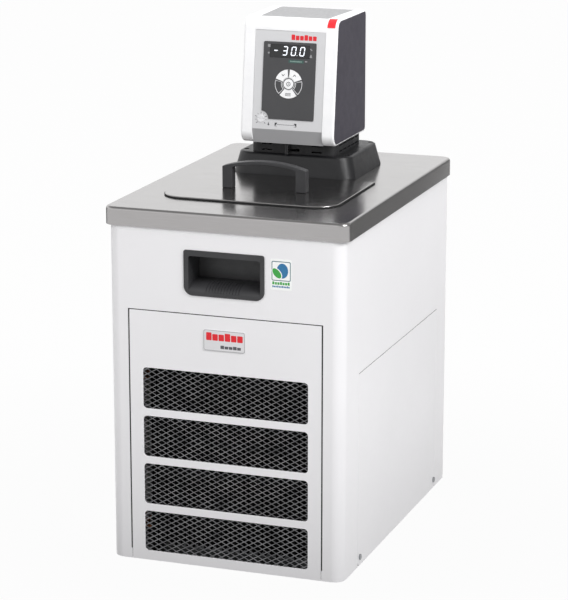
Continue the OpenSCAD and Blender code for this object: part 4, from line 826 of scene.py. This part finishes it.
class CIRCULATOR_OT_key_signs(bpy.types.Operator):
    """Print a plain sign on each key, and dark bands of painted shade along the key edges beside the gaps"""

    bl_idname = "circulator.key_signs"
    bl_label = "Key signs"

    def execute(self, context):
        top = on_face(KEY_FACE)
        for name, angle, turn, body in (("up", 54, 1, "up_key"), ("down", 124, -1, "down_key")):
            x, y = SIGN_RADIUS * cos(radians(angle)), RING_HEIGHT + SIGN_RADIUS * sin(radians(angle))
            print_shapes("key_%s_sign" % name, [self.chevron(x, y, turn)], top, "ink_dark", body, INK)
        # Painted shade: dark bands along the edges of the up, down and menu keys stand for the shade in the gaps
        # between the keys.
        for name, start, end, body in (
            ("up", 14, 90, "up_key"), ("down", 90, 166, "down_key"), ("menu", 226, 314, "menu_key"),
        ):
            spans = ((start + 0.9, start + 4.6), (end - 4.6, end - 0.9))
            edges = [ring_part(0, RING_HEIGHT, 9.9, RING_OUTER, low, high, 6) for low, high in spans]
            print_shapes("key_%s_edges" % name, edges, top, "ink_panel", body, THIN_INK)
        ring = [
            disc(0, RING_HEIGHT, 3.0), disc(0, RING_HEIGHT, 2.1),
            stroke((0, RING_HEIGHT - 1.1), (0, RING_HEIGHT + 1.1), 0.8),
        ]
        print_shapes("key_ok_sign", ring, top, "ink_dark", "ok_key", INK)
        bars = [soft_box(-4.0, RING_HEIGHT - 14.4 + d, 4.0, RING_HEIGHT - 13.7 + d, 0.2) for d in (-1.5, 0, 1.5)]
        print_shapes("key_menu_sign", bars, top, "ink_dark", "menu_key", INK)
        return {"FINISHED"}

    @staticmethod
    def chevron(x, y, turn):
        """Open arrow head that points up or down."""
        points = [(-2.4, -1.2), (-1.3, -1.2), (0, 0.5), (1.3, -1.2), (2.4, -1.2), (0.5, 1.4), (-0.5, 1.4)]
        return [(x + u, y + v * turn) for u, v in points]


class CIRCULATOR_OT_front_labels(bpy.types.Operator):
    """Set the sticker beside the grip and the plain print on the grille's badge"""

    bl_idname = "circulator.front_labels"
    bl_label = "Front labels"

    def execute(self, context):
        body, slot = "cabinet", "white_sheet"
        place, ink_at, over, above = (on_front(*STICKER, height) for height in (0.0, 0.12, 0.17, 0.22))
        print_shapes("sticker", [soft_box(-14.2, -19.5, 14.2, 20.5, 2.0)], place, "vinyl", body, 0.12)
        border = [soft_box(-12.6, -7.6, 12.8, 17.6, 2.0), soft_box(-11.6, -6.6, 11.8, 16.6, 1.4)]
        green_bar, blue_bar = blocks(-11.6, 11.4, -12.6, -9.4, 7, 0.7), blocks(-11.6, 11.4, -16.2, -14.2, 11, 0.5)
        for name, outlines, level, finish, thick in (
            ("sticker_frame", border, ink_at, "ink_frame", THIN_INK),
            ("sticker_disc", [oval(1.8, 5.4, 7.6, 9.6)], ink_at, "ink_blue", 0.07),
            ("sticker_rim", [oval(-5.4, 2.0, 8.6, 5.2, -48)], over, "vinyl", THIN_INK),
            ("sticker_oval", [oval(-5.6, 2.0, 7.6, 4.2, -48)], above, "ink_green", THIN_INK),
            ("sticker_bar_green", green_bar, ink_at, "ink_green", THIN_INK),
            ("sticker_bar_blue", blue_bar, ink_at, "ink_blue", THIN_INK),
        ):
            print_shapes(name, outlines, level, finish, body, thick)
        lo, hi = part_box("badge_plate")
        badge = on_front(0.0, (lo.z + hi.z) / 2 / MM, 0.8)
        w, h = (hi.x - lo.x) / 2 / MM, (hi.z - lo.z) / 2 / MM
        rim = [soft_box(-w + inset, -h + inset, w - inset, h - inset, r) for inset, r in ((0.3, 2.6), (0.9, 2.1))]
        name_field = blocks(-w + 3.8, w - 3.0, 0.0, h - 5.2, 6, 1.0)
        number_field = blocks(-5.0, w - 5.6, -h + 3.6, -h + 7.2, 5, 0.8)
        print_shapes("badge_rim", rim, badge, "ink_grey", "grille", INK)
        print_shapes("badge_field", name_field, badge, "ink_red", "grille", INK)
        print_shapes("badge_bar", number_field, badge, "ink_dark", "grille", INK)
        return {"FINISHED"}


class CIRCULATOR_OT_gap_shade_strips(bpy.types.Operator):
    """Lay dark strips of painted shade in the gaps around the grille, around the foot of the lid and above the side
    panels
    """

    bl_idname = "circulator.rubber_seals"
    bl_label = "Rubber seals"

    def execute(self, context):
        sizes = context.scene.circulator
        self.grille_edging(sizes.edging / MM)
        self.lid_seal(sizes.lid_seal / MM)
        self.panel_gaskets()
        return {"FINISHED"}

    @staticmethod
    def grille_edging(width):
        """Dark strip of painted shade in the gap at the sides and the top of the grille, just below the painted face.
        """
        lo, hi = (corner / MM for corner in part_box("venting_grille"))
        play, foot, over = GRILLE_SHADE_PLAY, lo.z + 2.0, min(width, GRILLE_SHADE_TOP)
        outline = [
            (lo.x - width, foot), (lo.x - play, foot), (lo.x - play, hi.z + play), (hi.x + play, hi.z + play),
            (hi.x + play, foot), (hi.x + width, foot), (hi.x + width, hi.z + over), (lo.x - width, hi.z + over),
        ]
        place = on_front(0.0, 0.0, -0.8)
        # Painted shade: this dark strip stands for the shade in the gap around the grille; it takes the rubber finish
        # of the feet.
        print_shapes("grille_edging", [outline], place, "foot_rubber", "cabinet", 0.7)

    @staticmethod
    def panel_gaskets():
        """Dark strip of painted shade in the seam above each side panel, just below the painted face."""
        for side, turn in (("right", pi / 2), ("left", -pi / 2)):
            lo, hi = (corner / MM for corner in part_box("side_panel_" + side))
            face = hi.x if side == "right" else lo.x
            ends = sorted((lo.y, hi.y) if side == "right" else (-hi.y, -lo.y))
            strip = [(ends[0], hi.z), (ends[1], hi.z), (ends[1], hi.z + SEAM), (ends[0], hi.z + SEAM)]
            place = (Matrix.Translation((face * MM, 0, 0)) @ Matrix.Rotation(turn, 4, "Z")
                     @ Matrix.Rotation(pi / 2, 4, "X") @ Matrix.Translation((0, 0, -SHADE_STRIP_DEPTH * MM)))
            # Painted shade: this dark strip stands for the shade in the seam above the side panel; it takes the
            # rubber finish of the feet.
            print_shapes("panel_gasket_" + side, [strip], place, "foot_rubber", "cabinet", 0.6)

    @staticmethod
    def lid_seal(thick):
        """Dark strip of painted shade around the front and the sides of the lid, with the lid's own corners."""
        lo, hi = (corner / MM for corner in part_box("lid"))
        r, back, paths = LID_CORNER, hi.y - 1.0, []
        for reach in (LID_PLAY, thick):
            path = [(lo.x - reach, back)] + arc(lo.x + r, lo.y + r, r + reach, 180, 270, 20)
            paths.append(path + arc(hi.x - r, lo.y + r, r + reach, 270, 360, 20) + [(hi.x + reach, back)])
        place = Matrix.Translation((0, 0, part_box("top_cover")[1].z))
        # Painted shade: this dark strip stands for the shade under the lid's edge; it takes the rubber finish of the
        # feet.
        print_shapes("lid_seal", [paths[0] + paths[1][::-1]], place, "foot_rubber",
                     frame["nodes"]["lid"]["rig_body"], LID_SHADE_STRIP_HEIGHT)


class CIRCULATOR_OT_stage(bpy.types.Operator):
    """Set up the pale floor, the soft studio light and the camera"""

    bl_idname = "circulator.stage"
    bl_label = "Stage"

    def execute(self, context):
        self.floor()
        self.flags()
        self.world(context)
        for name, place, aim, size, power in (
            ("key_light", (-2.6, -3.2, 2.6), (0, 0, 0.4), 2.4, 36.0),
            ("side_light", (2.9, -1.3, 2.6), (0.1, 0, 0.5), 2.0, 110.0),
            ("top_light", (0.0, 0.6, 3.4), (0, 0, 0.5), 2.6, 34.0),
        ):
            light = bpy.data.lights.new(name, "AREA")
            light.shape = "DISK"
            light.size = size
            light.energy = power
            lamp = bpy.data.objects.new(name, light)
            lamp.location = place
            lamp.rotation_euler = (Vector(aim) - Vector(place)).to_track_quat("-Z", "Y").to_euler()
            lamp.visible_glossy = name == "side_light"
            bpy.context.collection.objects.link(lamp)
        camera = bpy.data.cameras.new("camera")
        camera.sensor_fit = "VERTICAL"
        camera.sensor_height = SENSOR_HEIGHT
        camera.lens = FOCAL_PIXELS * SENSOR_HEIGHT / PICTURE_HEIGHT
        camera.clip_end = 40.0
        eye = bpy.data.objects.new("camera", camera)
        eye.location = CAMERA_PLACE
        eye.rotation_euler = (radians(90 - CAMERA_PITCH), 0, radians(CAMERA_TURN))
        bpy.context.collection.objects.link(eye)
        context.scene.camera = eye
        context.scene.view_settings.view_transform = "Standard"
        return {"FINISHED"}

    @staticmethod
    def floor():
        """A pale floor, white to the camera and in reflections, that throws little light back near the foot."""
        select_only(*frame["nodes"].values())
        bpy.ops.object.select_all(action="DESELECT")
        bpy.ops.mesh.primitive_plane_add(size=40, location=(0, 0, 0))
        floor = bpy.context.object
        floor.name = "floor"
        material = bpy.data.materials.new("pale_floor")
        material.use_nodes = True
        tree = material.node_tree
        shader = tree.nodes["Principled BSDF"]
        shader.inputs["Roughness"].default_value = 0.8
        away = add_node(tree, "ShaderNodeVectorMath", {0: add_node(tree, "ShaderNodeTexCoord").outputs["Object"]},
                        operation="LENGTH")
        bounce = add_node(tree, "ShaderNodeMapRange", {"Value": away.outputs["Value"], "From Min": 0.3,
                                                        "From Max": 0.85, "To Min": 0.02, "To Max": 0.55})
        tree.links.new(bounce.outputs[0], shader.inputs["Base Color"])
        white = add_node(tree, "ShaderNodeEmission", {"Color": (1, 1, 1, 1), "Strength": 1.0})
        path = add_node(tree, "ShaderNodeLightPath")
        mirrored = add_node(tree, "ShaderNodeMath", {0: path.outputs["Is Glossy Ray"], 1: 0.92}, operation="MULTIPLY")
        seen = add_node(tree, "ShaderNodeMath", {0: path.outputs["Is Camera Ray"], 1: 0.97, 2: mirrored.outputs[0]},
                        operation="MULTIPLY_ADD")
        mix = add_node(tree, "ShaderNodeMixShader", {0: seen.outputs[0], 1: shader.outputs[0], 2: white.outputs[0]})
        tree.links.new(mix.outputs[0], tree.nodes["Material Output"].inputs["Surface"])
        floor.data.materials.append(material)

    @staticmethod
    def flags():
        """Grey cards beside the set that only reflections see, for the dark flanks of the steel top."""
        grey = bpy.data.materials.new("grey_card")
        grey.use_nodes = True
        shader = grey.node_tree.nodes["Principled BSDF"]
        shader.inputs["Base Color"].default_value = linear("#7C7C7C")
        shader.inputs["Roughness"].default_value = 0.9
        for name, place, size in (
            ("flag_right", (2.0, 0.75, 0.4), (3.4, 0.8)),
            ("flag_left", (-2.3, 0.5, 0.2), (3.4, 0.4)),
        ):
            bpy.ops.mesh.primitive_plane_add(size=1, location=place, rotation=(pi / 2, 0, 0))
            card = bpy.context.object
            card.name = name
            card.scale = (size[0], size[1], 1)
            card.data.materials.append(grey)
            card.visible_camera = card.visible_diffuse = card.visible_shadow = False
            card.visible_transmission = False

    @staticmethod
    def world(context):
        """White to the camera; for light a dome that dims low down on the right; for gloss it also dims above."""
        world = context.scene.world or bpy.data.worlds.new("studio")
        context.scene.world = world
        world.use_nodes = True
        tree = world.node_tree
        tree.nodes.clear()
        place = add_node(tree, "ShaderNodeTexCoord").outputs["Generated"]
        axes = add_node(tree, "ShaderNodeSeparateXYZ", {0: place})
        side = add_node(tree, "ShaderNodeMapRange", {"Value": axes.outputs["X"], "From Min": -0.2, "From Max": 0.9,
                                                      "To Min": 1.0, "To Max": 0.3})
        high = add_node(tree, "ShaderNodeMapRange", {"Value": axes.outputs["Z"], "From Min": 0.1, "From Max": 0.9,
                                                      "To Min": 0.0, "To Max": 1.0})
        level = add_node(tree, "ShaderNodeMath", {0: side.outputs[0], 1: high.outputs[0]}, operation="MAXIMUM")
        path = add_node(tree, "ShaderNodeLightPath")
        above = add_node(tree, "ShaderNodeMapRange", {"Value": axes.outputs["Z"], "From Min": 0.4, "From Max": 0.75,
                                                       "To Min": 1.1, "To Max": 0.38})
        gloss = add_node(tree, "ShaderNodeMix", {0: path.outputs["Is Glossy Ray"], 2: 0.75, 3: above.outputs[0]})
        dome = add_node(tree, "ShaderNodeMath", {0: level.outputs[0], 1: gloss.outputs[0]}, operation="MULTIPLY")
        soft = add_node(tree, "ShaderNodeBackground", {"Color": (1, 1, 1, 1), "Strength": dome.outputs[0]})
        white = add_node(tree, "ShaderNodeBackground", {"Color": (1, 1, 1, 1), "Strength": 1.0})
        mix = add_node(tree, "ShaderNodeMixShader", {0: path.outputs["Is Camera Ray"], 1: soft.outputs[0],
                                                      2: white.outputs[0]})
        add_node(tree, "ShaderNodeOutputWorld", {"Surface": mix.outputs[0]})


class CIRCULATOR_PT_panel(bpy.types.Panel):
    """Lists the settings and the steps"""

    bl_label = "Refrigerated Circulator"
    bl_idname = "CIRCULATOR_PT_panel"
    bl_space_type = "VIEW_3D"
    bl_region_type = "UI"
    bl_category = "Circulator"

    def draw(self, context):
        for name in CirculatorSizes.__annotations__:
            self.layout.prop(context.scene.circulator, name)
        for step in OPERATORS:
            self.layout.operator(step.bl_idname)


OPERATORS = (
    CIRCULATOR_OT_finish_frame, CIRCULATOR_OT_soft_edges, CIRCULATOR_OT_expanded_metal, CIRCULATOR_OT_display,
    CIRCULATOR_OT_panel_print, CIRCULATOR_OT_key_signs, CIRCULATOR_OT_front_labels, CIRCULATOR_OT_gap_shade_strips,
    CIRCULATOR_OT_stage,
)
CLASSES = (CirculatorSizes,) + OPERATORS + (CIRCULATOR_PT_panel,)


def register():
    for made in CLASSES:
        bpy.utils.register_class(made)
    bpy.types.Scene.circulator = bpy.props.PointerProperty(type=CirculatorSizes)


def unregister():
    del bpy.types.Scene.circulator
    for made in reversed(CLASSES):
        bpy.utils.unregister_class(made)


def main():
    register()
    for step in OPERATORS:
        group, name = step.bl_idname.split(".")
        getattr(getattr(bpy.ops, group), name)()


if __name__ == "__main__":
    main()
